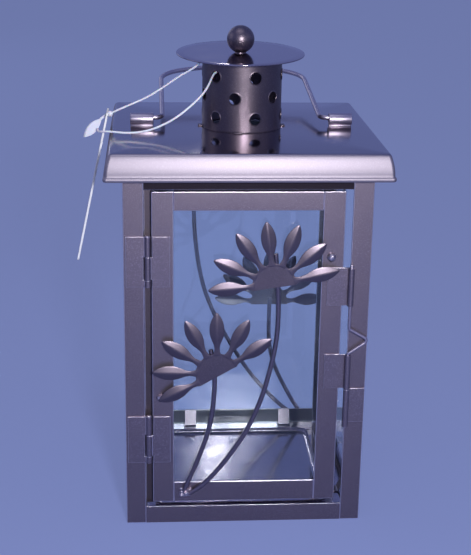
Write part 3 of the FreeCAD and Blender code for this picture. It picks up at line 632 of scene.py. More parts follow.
def bevel(piece: Piece, width_mm: float, segments: int = 2, degrees: float = 60, rubbed_and_glinting: bool = False) -> None:
    """Round the edges of a piece.

    Args:
        piece: The piece.
        width_mm: How wide the rounding of an edge is.
        segments: The faces across the rounding.
        degrees: Only edges that turn by more than this are rounded.
        rubbed_and_glinting: Whether the rounded edges get the second of two material places, the pale finish of
            worn edges with a painted highlight.
    """
    if rubbed_and_glinting:
        piece.data.materials.clear()
        piece.data.materials.append(None)
        piece.data.materials.append(None)
    modify(
        piece,
        "BEVEL",
        width=width_mm * MM,
        segments=segments,
        limit_method="ANGLE",
        angle_limit=math.radians(degrees),
        material=1 if rubbed_and_glinting else -1,
    )


def smooth(piece: Piece, degrees: float = 35.0) -> None:
    """Shade a piece smooth, apart from edges sharper than an angle."""
    activate(piece)
    bpy.ops.object.shade_smooth_by_angle(angle=math.radians(degrees))


def keep_flat(piece: Piece) -> None:
    """Let each large face set the shading at its own edges, so that it looks flat up to them."""
    modify(piece, "WEIGHTED_NORMAL", keep_sharp=True, weight=100)


def join(name: str, pieces: list[Piece]) -> Piece:
    """Join pieces to one object.

    Args:
        name: The object's name.
        pieces: The pieces, the first of which becomes the object.

    Returns:
        The object.
    """
    activate(pieces[0])
    for piece in pieces[1:]:
        piece.select_set(True)
    bpy.ops.object.join()
    pieces[0].name = name
    pieces[0].data.name = name
    return pieces[0]


def duplicate(piece: Piece, matrix: Matrix) -> Piece:
    """Copy a piece with its own mesh.

    Args:
        piece: The piece.
        matrix: Moves the copy's points.

    Returns:
        The copy.
    """
    mesh = piece.data.copy()
    mesh.transform(matrix)
    return new_object(piece.name, mesh)


def rounded_copy(
    node: str, width_mm: float, segments: int = 2, cuts: Sequence[tuple[Vector, Vector]] = ()
) -> Piece:
    """Copy a CAD node with merged corners, flat faces made whole and worn-round edges, which carry the pale edge
    finish of wear and painted highlight.

    Args:
        node: The CAD node's name.
        width_mm: How wide the rounding of an edge is.
        segments: The faces across the rounding.
        cuts: A point and a direction for each plane that cuts off what lies beyond it.

    Returns:
        The new piece.
    """
    flat_degrees, sharp_degrees = 0.3, 40
    piece = new_object(node + "_finished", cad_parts[node].data.copy())
    with editing(piece):
        select_all()
        bpy.ops.mesh.remove_doubles(threshold=MERGE)
        bpy.ops.mesh.dissolve_limited(angle_limit=math.radians(flat_degrees))
        for place, way in cuts:
            select_all()
            bpy.ops.mesh.bisect(plane_co=place, plane_no=way, clear_outer=True, use_fill=True)
    bevel(piece, width_mm, segments, sharp_degrees, rubbed_and_glinting=True)
    smooth(piece)
    keep_flat(piece)
    return piece


@dataclass
class BentWire:
    """A round wire that is extruded along straight runs and spun round its bends."""

    name: str
    radius: float
    sides: int = 24
    # A bend has one step for this many degrees, and never fewer than the least steps
    bend_step: float = 6.0
    least_steps: int = 4
    # How far its ends are rounded, as a share of its radius
    end_share: float = 1 / 3

    def build(self, corners: Sequence[Vector], bends: Sequence[float]) -> Piece:
        """Bend the wire.

        Args:
            corners: The wire's ends and, between them, where its runs would meet.
            bends: The radius of each bend, in metres.

        Returns:
            The wire.
        """
        heading = (corners[1] - corners[0]).normalized()
        bpy.ops.mesh.primitive_circle_add(
            vertices=self.sides,
            radius=self.radius,
            fill_type="NGON",
            location=corners[0],
            rotation=heading.to_track_quat("Z", "Y").to_euler(),
        )
        wire = added(self.name)
        with editing(wire):
            select_all()
            here = corners[0].copy()
            for before, corner, after, bend in zip(corners, corners[1:], corners[2:], bends):
                into = (corner - before).normalized()
                out = (after - corner).normalized()
                angle = into.angle(out)
                setback = bend * math.tan(angle / 2)
                start = corner - into * setback
                extrude(start - here)
                axis = into.cross(out).normalized()
                centre = start + axis.cross(into) * bend
                steps = max(self.least_steps, round(math.degrees(angle) / self.bend_step))
                bpy.ops.mesh.spin(steps=steps, angle=-angle, center=centre, axis=axis)
                here = corner + out * setback
            extrude(corners[-1] - here)
            turn_outwards(MERGE)
        bevel(wire, self.radius * self.end_share / MM)
        smooth(wire, degrees=40)
        return wire


@dataclass
class SmoothRod:
    """A round rod along one smooth line, by its control points and radius."""

    name: str
    points: Sequence[Vector]
    radius: float
    run_steps: int = 8
    round_steps: int = 4
    end_share: float = 0.85

    def curve(self) -> Piece:
        """Make the rod as a bevelled NURBS curve.

        Returns:
            The rod.
        """
        curve = bpy.data.curves.new(self.name, "CURVE")
        curve.dimensions = "3D"
        spline = curve.splines.new("NURBS")
        spline.points.add(len(self.points) - 1)
        for control, point in zip(spline.points, self.points):
            control.co = (point.x, point.y, point.z, 1.0)
        spline.order_u = 3
        spline.use_endpoint_u = True
        spline.resolution_u = self.run_steps
        curve.resolution_u = self.run_steps
        curve.bevel_depth = self.radius
        curve.bevel_resolution = self.round_steps
        curve.use_fill_caps = True
        return new_object(self.name, curve)

    def mesh(self) -> Piece:
        """Make the rod as a mesh with domed ends.

        Returns:
            The rod.
        """
        activate(self.curve())
        bpy.ops.object.convert(target="MESH")
        rod = bpy.context.object
        modify(rod, "WELD", merge_threshold=MERGE)
        bevel(rod, self.radius * self.end_share / MM, segments=4)
        smooth(rod, degrees=50)
        return rod


@dataclass
class SheetFrame:
    """Posts and rails of folded sheet, and the floor that hangs between them."""

    edge_mm: float = 0.4
    floor_edge_mm: float = 0.1
    # How far the front top rail's lower edge hangs further down, and how far above it the points go along
    hang_mm: float = 0.9
    hang_above_mm: float = 0.6
    # A face counts as turned inwards if this much of its normal is
    facing_in: float = 0.9
    sides: tuple[str, ...] = ("front", "right", "back", "left")
    corners: tuple[str, ...] = ("front_left", "front_right", "back_left", "back_right")

    def build(self, finisher: Finisher) -> None:
        """Model and dress the frame's pieces.

        Args:
            finisher: Gives the pieces their finish and body.
        """
        names = ["post_" + corner for corner in self.corners]
        names += [level + "_rail_" + side for level in ("base", "top") for side in self.sides]
        names.append("door_stop")
        for name in names:
            piece = rounded_copy(name, self.edge_mm)
            if name == "top_rail_front":
                self._lower_edge(piece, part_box(name)[0].z)
            # The back rail's inner face takes a painted reflection of the tray's glare.
            if name == "base_rail_back":
                self._paint_tray_glare(piece)
            # Painted shadow on the front top rail under the lid, and painted shade on the door stop in the hinge
            # gap.
            finish = {"top_rail_front": Finish.THIN, "door_stop": Finish.SHADED}.get(name, Finish.SHEET)
            finisher.dress(piece, finish, Body.FRAME, name)
        finisher.dress_copy("floor_plate", self.floor_edge_mm, Finish.POLISHED, Body.FRAME)

    def _paint_tray_glare(self, rail: Piece) -> None:
        """Give the back rail's face behind the tray the pale edge finish, as a painted reflection of the tray's
        glare.

        Args:
            rail: The rail.
        """
        for face in rail.data.polygons:
            if face.normal.y < -self.facing_in:
                face.material_index = 1

    def _lower_edge(self, rail: Piece, level: float) -> None:
        """Let the front rail's lower edge hang a little further, so that no light shows over the door.

        Args:
            rail: The rail.
            level: The height of its lower edge, in metres.
        """
        with editing(rail):
            select_points(rail, lambda point: point.z < level + self.hang_above_mm * MM)
            bpy.ops.transform.translate(value=(0, 0, -self.hang_mm * MM))


@dataclass
class CandleTray:
    """Loose tray of thin sheet with a low, wavy lip."""

    sheet_mm: float = 0.5
    edge_mm: float = 0.12
    corner_mm: float = 5.0
    lip_radius_mm: float = 1.2
    # Where round its bend the lip has rows of faces
    lip_angles: tuple[float, ...] = (30, 60, 90)
    wave_mm: float = 0.35
    wave_length_mm: float = 21.0
    grid_steps: int = 40

    def build(self, finisher: Finisher) -> None:
        """Model and dress the tray.

        Args:
            finisher: Gives the tray its finish and body.
        """
        low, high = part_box("candle_tray")
        floor = low.z + self.sheet_mm * MM
        top = high.z - self.wave_mm * MM
        radius = self.lip_radius_mm * MM
        flat_half = high.x - radius
        bpy.ops.mesh.primitive_grid_add(
            x_subdivisions=self.grid_steps,
            y_subdivisions=self.grid_steps,
            size=2 * flat_half,
            location=(0, 0, floor),
        )
        tray = added("candle_tray_pressed")
        outline = [(flat_half, floor)]
        for angle in map(math.radians, self.lip_angles):
            outline.append((flat_half + radius * math.sin(angle), floor + radius * (1 - math.cos(angle))))
        outline.append((high.x, top))
        with editing(tray):
            self._round_corners(tray, flat_half - self.corner_mm * MM)
            select_rim(tray)
            for before, after in zip(outline, outline[1:]):
                extrude_ring(before, after)
            self._wave_rim(tray, top)
        modify(tray, "SOLIDIFY", thickness=self.sheet_mm * MM, offset=-1)
        bevel(tray, self.edge_mm)
        smooth(tray)
        finisher.dress(tray, Finish.TRAY, Body.FRAME, "candle_tray")

    def _round_corners(self, tray: Piece, inner: float) -> None:
        """Draw the square corners of the flat grid in to arcs.

        Args:
            tray: The tray, in edit mode.
            inner: How far the arcs' middles are from the tray's, along X and along Y.
        """
        mesh = bmesh.from_edit_mesh(tray.data)
        for vertex in mesh.verts:
            over = Vector((max(0.0, abs(vertex.co.x) - inner), max(0.0, abs(vertex.co.y) - inner)))
            if min(over) > 0:
                shrink = max(over) / over.length
                vertex.co.x = math.copysign(inner + over.x * shrink, vertex.co.x)
                vertex.co.y = math.copysign(inner + over.y * shrink, vertex.co.y)
        bmesh.update_edit_mesh(tray.data)

    def _wave_rim(self, tray: Piece, height: float) -> None:
        """Move the lip's top up and down in gentle waves.

        Args:
            tray: The tray, in edit mode.
            height: The height of the lip's top, in metres.
        """
        mesh = bmesh.from_edit_mesh(tray.data)
        for vertex in mesh.verts:
            if vertex.co.z > height - NEAR:
                vertex.co.z += noise.noise(vertex.co / (self.wave_length_mm * MM)) * self.wave_mm * MM
        bmesh.update_edit_mesh(tray.data)


@dataclass
class Panes:
    """Fixed panes, with arrised edges, and the spring clips that hold them."""

    arris_mm: float = 0.3
    clip_edge_mm: float = 0.15

    def build(self, finisher: Finisher) -> None:
        """Model and dress the panes and their clips.

        Args:
            finisher: Gives the pieces their finish and body.
        """
        for name in ("pane_back", "pane_left", "pane_right"):
            finisher.dress_copy(name, self.arris_mm, Finish.GLASS, Body.FRAME, segments=1)
        for name in ("clips_back", "clips_sides"):
            finisher.dress_copy(name, self.clip_edge_mm, Finish.SHEET, Body.FRAME)


@dataclass
class Lid:
    """Pressed lid: a flat top, a skirt that swells outwards and a rolled hem."""

    corner_mm: float = 7.0
    corner_steps: int = 8
    hole_mm: float = 22.3
    hole_steps: int = 96
    # Outline of the sheet from the top's rim round the hem to the inside, in mm out from the lid's half width
    # and up from its lower edge
    outline_mm: tuple[Pair, ...] = (
        (-5.0, 15.5),
        (-4.4, 15.42),
        (-3.8, 15.15),
        (-3.3, 14.65),
        (-2.9, 13.9),
        (-2.35, 12.2),
        (-1.8, 10.1),
        (-1.35, 8.0),
        (-1.05, 5.9),
        (-0.92, 4.4),
        (-0.9, 3.2),
        (-0.75, 2.7),
        (-0.3, 2.3),
        (-0.1, 1.6),
        (-0.15, 0.8),
        (-0.5, 0.15),
        (-1.0, 0.0),
        (-1.5, 0.2),
        (-1.8, 0.9),
        (-1.9, 2.8),
        (-2.0, 5.5),
        (-2.4, 8.0),
        (-3.2, 11.6),
        (-4.0, 13.7),
        (-5.0, 14.5),
    )

    def build(self, finisher: Finisher) -> None:
        """Model and dress the lid.

        Args:
            finisher: Gives the lid its finish and body.
        """
        low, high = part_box("lid")
        outline = [(high.x + out * MM, low.z + up * MM) for out, up in self.outline_mm]
        bpy.ops.mesh.primitive_plane_add(size=2 * outline[0][0], location=(0, 0, high.z))
        lid = added("lid_pressed")
        with editing(lid):
            select_all()
            corner = (self.corner_mm + self.outline_mm[0][0]) * MM
            bpy.ops.mesh.bevel(
                offset=corner, segments=self.corner_steps, affect="VERTICES", clamp_overlap=False
            )
            select_all()
            bpy.ops.mesh.delete(type="ONLY_FACE")
            select_all()
            for before, after in zip(outline, outline[1:]):
                extrude_ring(before, after)
            for height in (high.z, outline[-1][1]):
                self._close_with_hole(lid, height)
            select_rim(lid)
            bpy.ops.mesh.bridge_edge_loops()
            turn_outwards(MERGE)
        smooth(lid, degrees=40)
        finisher.dress(lid, Finish.LID, Body.FRAME, "lid")

    def _close_with_hole(self, lid: Piece, height: float) -> None:
        """Bridge the rim at a height to a round hole in the middle.

        Args:
            lid: The lid, in edit mode.
            height: The height of the rim, in metres.
        """
        bpy.ops.mesh.select_all(action="DESELECT")
        bpy.ops.mesh.primitive_circle_add(
            vertices=self.hole_steps, radius=self.hole_mm * MM, fill_type="NOTHING", location=(0, 0, height)
        )
        select_rim(lid, lambda place: abs(place.z - height) < NEAR)
        bpy.ops.mesh.bridge_edge_loops()


@dataclass
class Chimney:
    """Rolled chimney tube with three rows of punched vents, whose burrs stand out, and ears at its foot.

    The sheet is modelled flat, with its angle round the tube along X, and then rolled.
    """

    radius_mm: float = 23.9
    wall_mm: float = 0.6
    edge_mm: float = 0.16
    # Points of neighbouring cells that are nearer than this become one
    seam_mm: float = 0.01
    columns: int = 12
    first_angle: float = 1.0
    # Where the plain rims and the rows of vents meet, as shares of the tube's height
    row_bounds_share: tuple[float, ...] = (0.056, 0.35, 0.647, 0.943)
    cell_steps: int = 8
    plain_steps: int = 2
    vent_radius_mm: float = 3.5
    burr_mm: float = 0.32
    burr_width_mm: float = 0.55
    burr_foot_share: float = 1.3
    # How far out from the vent and how high each ring of the burr is, as shares of the burr's width and height
    burr_profile: tuple[Pair, ...] = ((1.0, 0.0), (0.45, 0.75), (0.0, 1.0))
    ear_angles: tuple[float, ...] = (-92.0, -8.0, 92.0)
    ear_mm: Point = (5.0, 2.6, 0.8)
    ear_out_mm: float = 1.2
    ear_edge_mm: float = 0.3

    def build(self, finisher: Finisher) -> None:
        """Model and dress the chimney.

        Args:
            finisher: Gives the chimney its finish and body.
        """
        low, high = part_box("chimney_tube")
        width = 2 * math.pi / self.columns
        levels = [low.z + (high.z - low.z) * share for share in (0.0, *self.row_bounds_share, 1.0)]
        last = len(levels) - 2
        cells = []
        for column in range(self.columns):
            middle = math.radians(self.first_angle) + width * (column + 0.5)
            for row, (bottom, top) in enumerate(zip(levels, levels[1:])):
                box = (middle, width, bottom, top)
                if not 0 < row < last:
                    cells.append(self._plain_cell(*box, self.plain_steps))
                elif (column + row) % 2:
                    cells.append(self._vent_cell(*box))
                else:
                    cells.append(self._plain_cell(*box, self.cell_steps))
        tube = join("chimney_tube_rolled", cells)
        for vertex in tube.data.vertices:
            angle, reach = vertex.co.x, self.radius_mm * MM - vertex.co.y
            vertex.co = (reach * math.sin(angle), -reach * math.cos(angle), vertex.co.z)
        with editing(tube):
            turn_outwards(self.seam_mm * MM)
        modify(tube, "SOLIDIFY", thickness=self.wall_mm * MM, offset=-1)
        # The tube's rims and the vents' rims take the pale edge finish: worn lacquer with painted highlight
        # rings.
        bevel(tube, self.edge_mm, degrees=50, rubbed_and_glinting=True)
        smooth(tube, degrees=40)
        tube = join("chimney_tube_rolled", [tube, *self._ears(low.z)])
        finisher.dress(tube, Finish.ROLLED, Body.FRAME, "chimney_tube")

    def _plain_cell(self, middle: float, width: float, bottom: float, top: float, steps: int) -> Piece:
        """Make a cell of the flat sheet.

        Args:
            middle: The angle of its middle, in radians.
            width: The angle that it takes up, in radians.
            bottom: The height of its lower edge, in metres.
            top: The height of its upper edge, in metres.
            steps: The rows of faces in it.

        Returns:
            The cell.
        """
        bpy.ops.mesh.primitive_grid_add(x_subdivisions=self.cell_steps, y_subdivisions=steps, size=1)
        cell = bpy.context.object
        for vertex in cell.data.vertices:
            x, y = vertex.co.x, vertex.co.y
            vertex.co = (middle + x * width, 0.0, (bottom + top) / 2 + y * (top - bottom))
        return cell

    def _vent_cell(self, middle: float, width: float, bottom: float, top: float) -> Piece:
        """Make a cell of the flat sheet with a round vent and a burr round it.

        Args:
            middle: The angle of its middle, in radians.
            width: The angle that it takes up, in radians.
            bottom: The height of its lower edge, in metres.
            top: The height of its upper edge, in metres.

        Returns:
            The cell.
        """
        cell = self._plain_cell(middle, width, bottom, top, self.cell_steps)
        centre = Vector((middle, 0, (bottom + top) / 2))
        nearly_half = 0.495

        def inside(place: Vector) -> bool:
            """Whether a point is off the cell's outer edges."""
            off = place - centre
            return abs(off.x) < width * nearly_half and abs(off.z) < (top - bottom) * nearly_half

        with editing(cell):
            mesh = bmesh.from_edit_mesh(cell.data)
            faces = [face for face in mesh.faces if all(inside(vertex.co) for vertex in face.verts)]
            bmesh.ops.delete(mesh, geom=faces, context="FACES")
            for vertex in mesh.verts:
                if inside(vertex.co):
                    self._pull(vertex, centre, self.burr_foot_share)
            bmesh.update_edit_mesh(cell.data)
            for share, rise in self.burr_profile:
                select_rim(cell, inside)
                extrude((0, 0, 0))
                mesh = bmesh.from_edit_mesh(cell.data)
                for vertex in mesh.verts:
                    if vertex.select:
                        self._pull(vertex, centre, share)
                        vertex.co.y = -self.burr_mm * MM * rise
                bmesh.update_edit_mesh(cell.data)
        return cell

    def _pull(self, vertex: bmesh.types.BMVert, centre: Vector, share: float) -> None:
        """Move a point of the flat sheet straight towards or away from a vent's middle.

        Args:
            vertex: The point.
            centre: The vent's middle.
            share: How far from the vent's edge it ends, as a share of the burr's width.
        """
        radius = self.radius_mm * MM
        across, up = (vertex.co.x - centre.x) * radius, vertex.co.z - centre.z
        stretch = (self.vent_radius_mm + self.burr_width_mm * share) * MM / math.hypot(across, up)
        vertex.co.x = centre.x + across * stretch / radius
        vertex.co.z = centre.z + up * stretch

    def _ears(self, foot: float) -> list[Piece]:
        """Make the small ears that hold the tube's foot to the lid.

        Args:
            foot: The height of the tube's foot, in metres.

        Returns:
            The ears.
        """
        ears = []
        size = Matrix.Diagonal((*metres(self.ear_mm), 1.0))
        out = Matrix.Translation((0, -(self.radius_mm + self.ear_out_mm) * MM, foot + self.ear_mm[2] / 2 * MM))
        for angle in self.ear_angles:
            bpy.ops.mesh.primitive_cube_add(size=1)
            ear = bpy.context.object
            ear.data.transform(Matrix.Rotation(math.radians(angle), 4, "Z") @ out @ size)
            bevel(ear, self.ear_edge_mm, segments=3)
            smooth(ear)
            ears.append(ear)
        return ears


@dataclass
class Cap:
    """Spun cap disc with its bridge and fixings, and the ball knob."""

    tilt: float = 2.8
    offset_mm: float = -1.2
    disc_mm: float = 38.4
    sheet_mm: float = 0.7
    edge_mm: float = 0.2
    gap_mm: float = 2.8
    disc_steps: int = 128
    rings: int = 5
    ball_mm: float = 8.2
    ball_foot_mm: float = 3.4
    # How far the foot's underside is above the lowest point of the whole ball
    foot_up_mm: float = 0.3
    ball_steps: int = 64
    ball_rings: int = 40

    def build(self, finisher: Finisher) -> None:
        """Model and dress the cap's pieces.

        Args:
            finisher: Gives the pieces their finish and body.
        """
        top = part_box("chimney_tube")[1].z + self.gap_mm * MM
        lean = Matrix.Rotation(math.radians(self.tilt), 4, "X")
        place = Matrix.Translation((0, 0, top)) @ lean @ Matrix.Translation((self.offset_mm * MM, 0, 0))
        disc, ball = self._disc(), self._ball()
        disc.data.transform(place)
        ball.data.transform(place)
        finisher.dress(disc, Finish.POLISHED, Body.FRAME, "cap_disc")
        finisher.dress(ball, Finish.ROLLED, Body.FRAME, "ball_knob")
        # The bridge under the disc is darkened as painted shadow.
        finisher.dress_copy("cap_bridge", self.edge_mm, Finish.THIN, Body.FRAME)
        for name in ("cap_stud", "cap_nut"):
            finisher.dress_copy(name, self.edge_mm, Finish.PLATED, Body.FRAME)

    def _disc(self) -> Piece:
        """Make the disc: a thin plate with a rounded rim.

        Rings of faces keep the rim's smooth shading off the plate's flat middle.

        Returns:
            The disc.
        """
        bpy.ops.mesh.primitive_circle_add(vertices=self.disc_steps, radius=self.disc_mm * MM, fill_type="NGON")
        disc = added("cap_disc_spun")
        with editing(disc):
            select_all()
            for _ in range(self.rings):
                bpy.ops.mesh.inset(thickness=self.disc_mm * MM / (self.rings + 2))
            select_all()
            extrude((0, 0, self.sheet_mm * MM))
            turn_outwards()
        bevel(disc, self.edge_mm, segments=3)
        smooth(disc, degrees=40)
        return disc

    def _ball(self) -> Piece:
        """Make the ball with the small foot that it is turned with, at its place on the disc.

        Returns:
            The ball.
        """
        radius = self.ball_mm * MM
        bpy.ops.mesh.primitive_uv_sphere_add(segments=self.ball_steps, ring_count=self.ball_rings, radius=radius)
        ball = added("ball_knob_turned")
        cut = -math.sqrt(radius**2 - (self.ball_foot_mm * MM) ** 2)
        bottom = self.foot_up_mm * MM - radius
        with editing(ball):
            select_all()
            bpy.ops.mesh.bisect(plane_co=(0, 0, cut), plane_no=(0, 0, 1), clear_inner=True, use_fill=False)
            select_rim(ball)
            extrude((0, 0, bottom - cut))
            bpy.ops.mesh.edge_face_add()
            turn_outwards()
        smooth(ball, degrees=40)
        ball.data.transform(Matrix.Translation((0, 0, self.sheet_mm * MM - bottom)))
        return ball


@dataclass
class Bail:
    """Carrying bail of bent wire, and the rolled brackets that its feet turn in."""

    wire_mm: float = 1.5
    rest_angle: float = 6.2
    axis_mm: float = 236.0
    # Out from the middle: the legs and the feet's ends. Up from the feet's axis: where the runs would meet at
    # the shoulders and at the peak
    half_mm: float = 48.0
    foot_mm: float = 66.5
    shoulder_mm: float = 98.02
    peak_mm: float = 129.6
    bends_mm: tuple[float, ...] = (4.5, 26.0, 66.0, 26.0, 4.5)
    barrel_mm: float = 3.6
    barrel_steps: int = 40
    barrel_edge_mm: float = 0.35
    bore_mm: float = 2.5
    # How much lower the barrels lie than the wire that they are loose on
    sag_mm: float = 0.9
    neck_mm: float = 3.4
    neck_length_share: float = 0.98
    neck_spread: float = 1.25
    neck_edge_mm: float = 0.5

    def build(self, finisher: Finisher) -> None:
        """Model and dress the bail and its brackets.

        Args:
            finisher: Gives the pieces their finish and body.
        """
        right = [(self.foot_mm, 0, 0), (self.half_mm, 0, 0), (self.half_mm, self.shoulder_mm, 0)]
        left = [(-x, y, z) for x, y, z in reversed(right)]
        corners = [metres(corner) for corner in (*right, (0, self.peak_mm, 0), *left)]
        bends = [bend * MM for bend in self.bends_mm]
        wire = BentWire("bail_handle_wire", self.wire_mm * MM).build(corners, bends)
        lean = Matrix.Rotation(math.radians(self.rest_angle), 4, "X")
        wire.data.transform(Matrix.Translation((0, 0, self.axis_mm * MM)) @ lean)
        finisher.dress(wire, Finish.BURNISHED, Body.BAIL, "bail_handle")
        for node in ("bail_bracket_left", "bail_bracket_right"):
            finisher.dress(self._bracket(node), Finish.BURNISHED, Body.FRAME, node)

    def _bracket(self, node: str) -> Piece:
        """Roll a bracket from strip: a barrel that is loose on the wire, and a foot that spreads on the lid.

        Args:
            node: The CAD node that gives its place and length.

        Returns:
            The bracket.
        """
        low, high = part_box(node)
        length = high.x - low.x
        axis = (self.axis_mm - self.sag_mm) * MM
        bpy.ops.mesh.primitive_circle_add(
            vertices=self.barrel_steps,
            radius=self.barrel_mm * MM,
            fill_type="NOTHING",
            location=(low.x, 0, axis),
            rotation=(0, math.radians(90), 0),
        )
        barrel = added(node + "_barrel")
        with editing(barrel):
            select_all()
            extrude((length, 0, 0))
            turn_outwards()
        modify(barrel, "SOLIDIFY", thickness=(self.barrel_mm - self.bore_mm) * MM, offset=-1)
        bevel(barrel, self.barrel_edge_mm, segments=3, degrees=50)
        smooth(barrel, degrees=40)
        neck_top = axis - (self.bore_mm + self.barrel_mm) / 2 * MM
        middle = (low.x + high.x) / 2
        bpy.ops.mesh.primitive_cube_add(size=1)
        neck = bpy.context.object
        size = Matrix.Diagonal((length * self.neck_length_share, self.neck_mm * MM, neck_top - low.z, 1.0))
        neck.data.transform(Matrix.Translation((middle, 0, (low.z + neck_top) / 2)) @ size)
        with editing(neck):
            select_points(neck, lambda point: point.z < low.z + NEAR)
            bpy.ops.transform.resize(value=(1.0, self.neck_spread, 1.0), center_override=(middle, 0, low.z))
        bevel(neck, self.neck_edge_mm, segments=3, degrees=30)
        smooth(neck, degrees=40)
        return join(node + "_rolled", [barrel, neck])


@dataclass
class Door:
    """Door of folded stiles and rails, its pane and clips, and the hinges and latch that carry it."""

    edge_mm: float = 0.4
    leaf_edge_mm: float = 0.3
    arris_mm: float = 0.3
    pin_mm: float = 0.95
    # The grip: how far out it bends, and the heights of its foot, apex and top
    grip_mm: float = 11.9
    grip_bottom_mm: float = 110.5
    grip_apex_mm: float = 118.77
    grip_top_mm: float = 125.9
    grip_bend_mm: float = 1.9

    def build(self, finisher: Finisher) -> None:
        """Model and dress the door's pieces.

        Args:
            finisher: Gives the pieces their finish and body.
        """
        for name in ("door_stile_left", "door_stile_right", "door_rail_top", "door_rail_bottom"):
            finisher.dress_copy(name, self.edge_mm, Finish.SHEET, Body.DOOR)
        finisher.dress_copy("door_glass", self.arris_mm, Finish.GLASS, Body.DOOR, segments=1)
        finisher.dress_copy("door_clips", self.leaf_edge_mm, Finish.SHEET, Body.DOOR)
        leaves = [
            (hinge + part, body)
            for hinge in ("hinge_lower", "hinge_upper")
            for part, body in (("_frame_leaf", Body.FRAME), ("_door_leaf", Body.DOOR), ("_pin", Body.FRAME))
        ]
        leaves += [("latch_eye_lower", Body.DOOR), ("latch_eye_upper", Body.DOOR), ("latch_keeper", Body.FRAME)]
        for name, body in leaves:
            finisher.dress_copy(name, self.leaf_edge_mm, Finish.HINGE, body)
        finisher.dress(self._latch_pin(), Finish.BURNISHED, Body.LATCH, "latch_pin")

    def _latch_pin(self) -> Piece:
        """Bend the latch's wire pin with its V-bend grip.

        Returns:
            The pin.
        """
        low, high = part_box("latch_pin")
        x = low.x + self.pin_mm * MM
        y = (low.y + high.y) / 2
        corners = (
            Vector((x, y, high.z)),
            Vector((x, y, self.grip_top_mm * MM)),
            Vector((x + self.grip_mm * MM, y, self.grip_apex_mm * MM)),
            Vector((x, y, self.grip_bottom_mm * MM)),
            Vector((x, y, low.z)),
        )
        return BentWire("latch_pin_wire", self.pin_mm * MM).build(corners, [self.grip_bend_mm * MM] * 3)


@dataclass
class Flower:
    """Stamped flower: a half-round hub and seven creased petals that rise about +Y, its back at z 0."""

    sheet_mm: float = 0.6
    rim_mm: float = 0.4
    tip_mm: float = 37.9
    root_mm: float = 11.2
    half_width_mm: float = 4.2
    # The petal's half width at even steps from root to tip, as shares of its largest
    width_shares: tuple[float, ...] = (0.62, 0.42, 0.33, 0.43, 0.66, 0.88, 0.99, 1.0, 0.93, 0.77, 0.5, 0.1)
    # The crease's height, and the share of the petal's length from which on it is that high
    fold_mm: float = 1.05
    fold_full_share: float = 0.25
    length_steps: int = 22
    width_steps: int = 10
    angles: tuple[float, ...] = (-85.4, -58.2, -28.9, -0.3, 27.6, 58.2, 86.2)
    hub_mm: float = 13.2
    hub_drop_mm: float = 1.6
    hub_steps: int = 168
    scallop_angle: float = 28.5
    scallop_mm: float = 0.5

    def build(self) -> Piece:
        """Make the whole flower.

        Returns:
            The flower.
        """
        petal = self._petal()
        parts = [self._hub()]
        parts += [duplicate(petal, Matrix.Rotation(math.radians(90 + angle), 4, "Z")) for angle in self.angles]
        bpy.data.objects.remove(petal)
        return join("flower_pattern", parts)

    def _width_share(self, along: float) -> float:
        """Find how wide the petal is.

        Args:
            along: A place from the root, as a share of the petal's length.

        Returns:
            The half width there, as a share of its largest.
        """
        place = along * (len(self.width_shares) - 1)
        step = min(int(place), len(self.width_shares) - 2)
        part = place - step
        return self.width_shares[step] * (1 - part) + self.width_shares[step + 1] * part

    def _petal(self) -> Piece:
        """Make one petal along +X, creased along its middle.

        Returns:
            The petal.
        """
        bpy.ops.mesh.primitive_grid_add(
            x_subdivisions=self.length_steps, y_subdivisions=self.width_steps, size=1
        )
        petal = bpy.context.object
        length = (self.tip_mm - self.root_mm) * MM
        for vertex in petal.data.vertices:
            along = vertex.co.x + 0.5
            across = vertex.co.y * 2
            share = self._width_share(along)
            fold = share * self.fold_mm * MM * (1 - abs(across)) * min(1.0, along / self.fold_full_share)
            vertex.co = (self.root_mm * MM + length * along, share * self.half_width_mm * MM * across, fold)
        modify(petal, "SOLIDIFY", thickness=self.sheet_mm * MM, offset=1)
        # The petal's rims take the pale edge finish: worn lacquer with a painted highlight.
        bevel(petal, self.rim_mm, rubbed_and_glinting=True)
        smooth(petal, degrees=45)
        return petal

    def _hub(self) -> Piece:
        """Make the hub, scalloped between the petals and cut straight below.

        Returns:
            The hub.
        """
        bpy.ops.mesh.primitive_circle_add(vertices=self.hub_steps, radius=self.hub_mm * MM, fill_type="NGON")
        hub = bpy.context.object
        for vertex in hub.data.vertices:
            angle = math.degrees(math.atan2(vertex.co.y, vertex.co.x)) - 90
            phase = math.cos(math.radians(angle / self.scallop_angle * 360))
            reach = vertex.co.length - self.scallop_mm * MM * (1 - phase) / 2
            vertex.co = vertex.co.normalized() * reach
        with editing(hub):
            select_all()
            bpy.ops.mesh.bisect(
                plane_co=(0, -self.hub_drop_mm * MM, 0), plane_no=(0, 1, 0), clear_inner=True, use_fill=False
            )
            select_all()
            extrude((0, 0, self.sheet_mm * MM))
            turn_outwards()
        # The hub's rim takes the pale edge finish: worn lacquer with a painted highlight.
        bevel(hub, self.rim_mm, rubbed_and_glinting=True)
        smooth(hub, degrees=40)
        keep_flat(hub)
        return hub


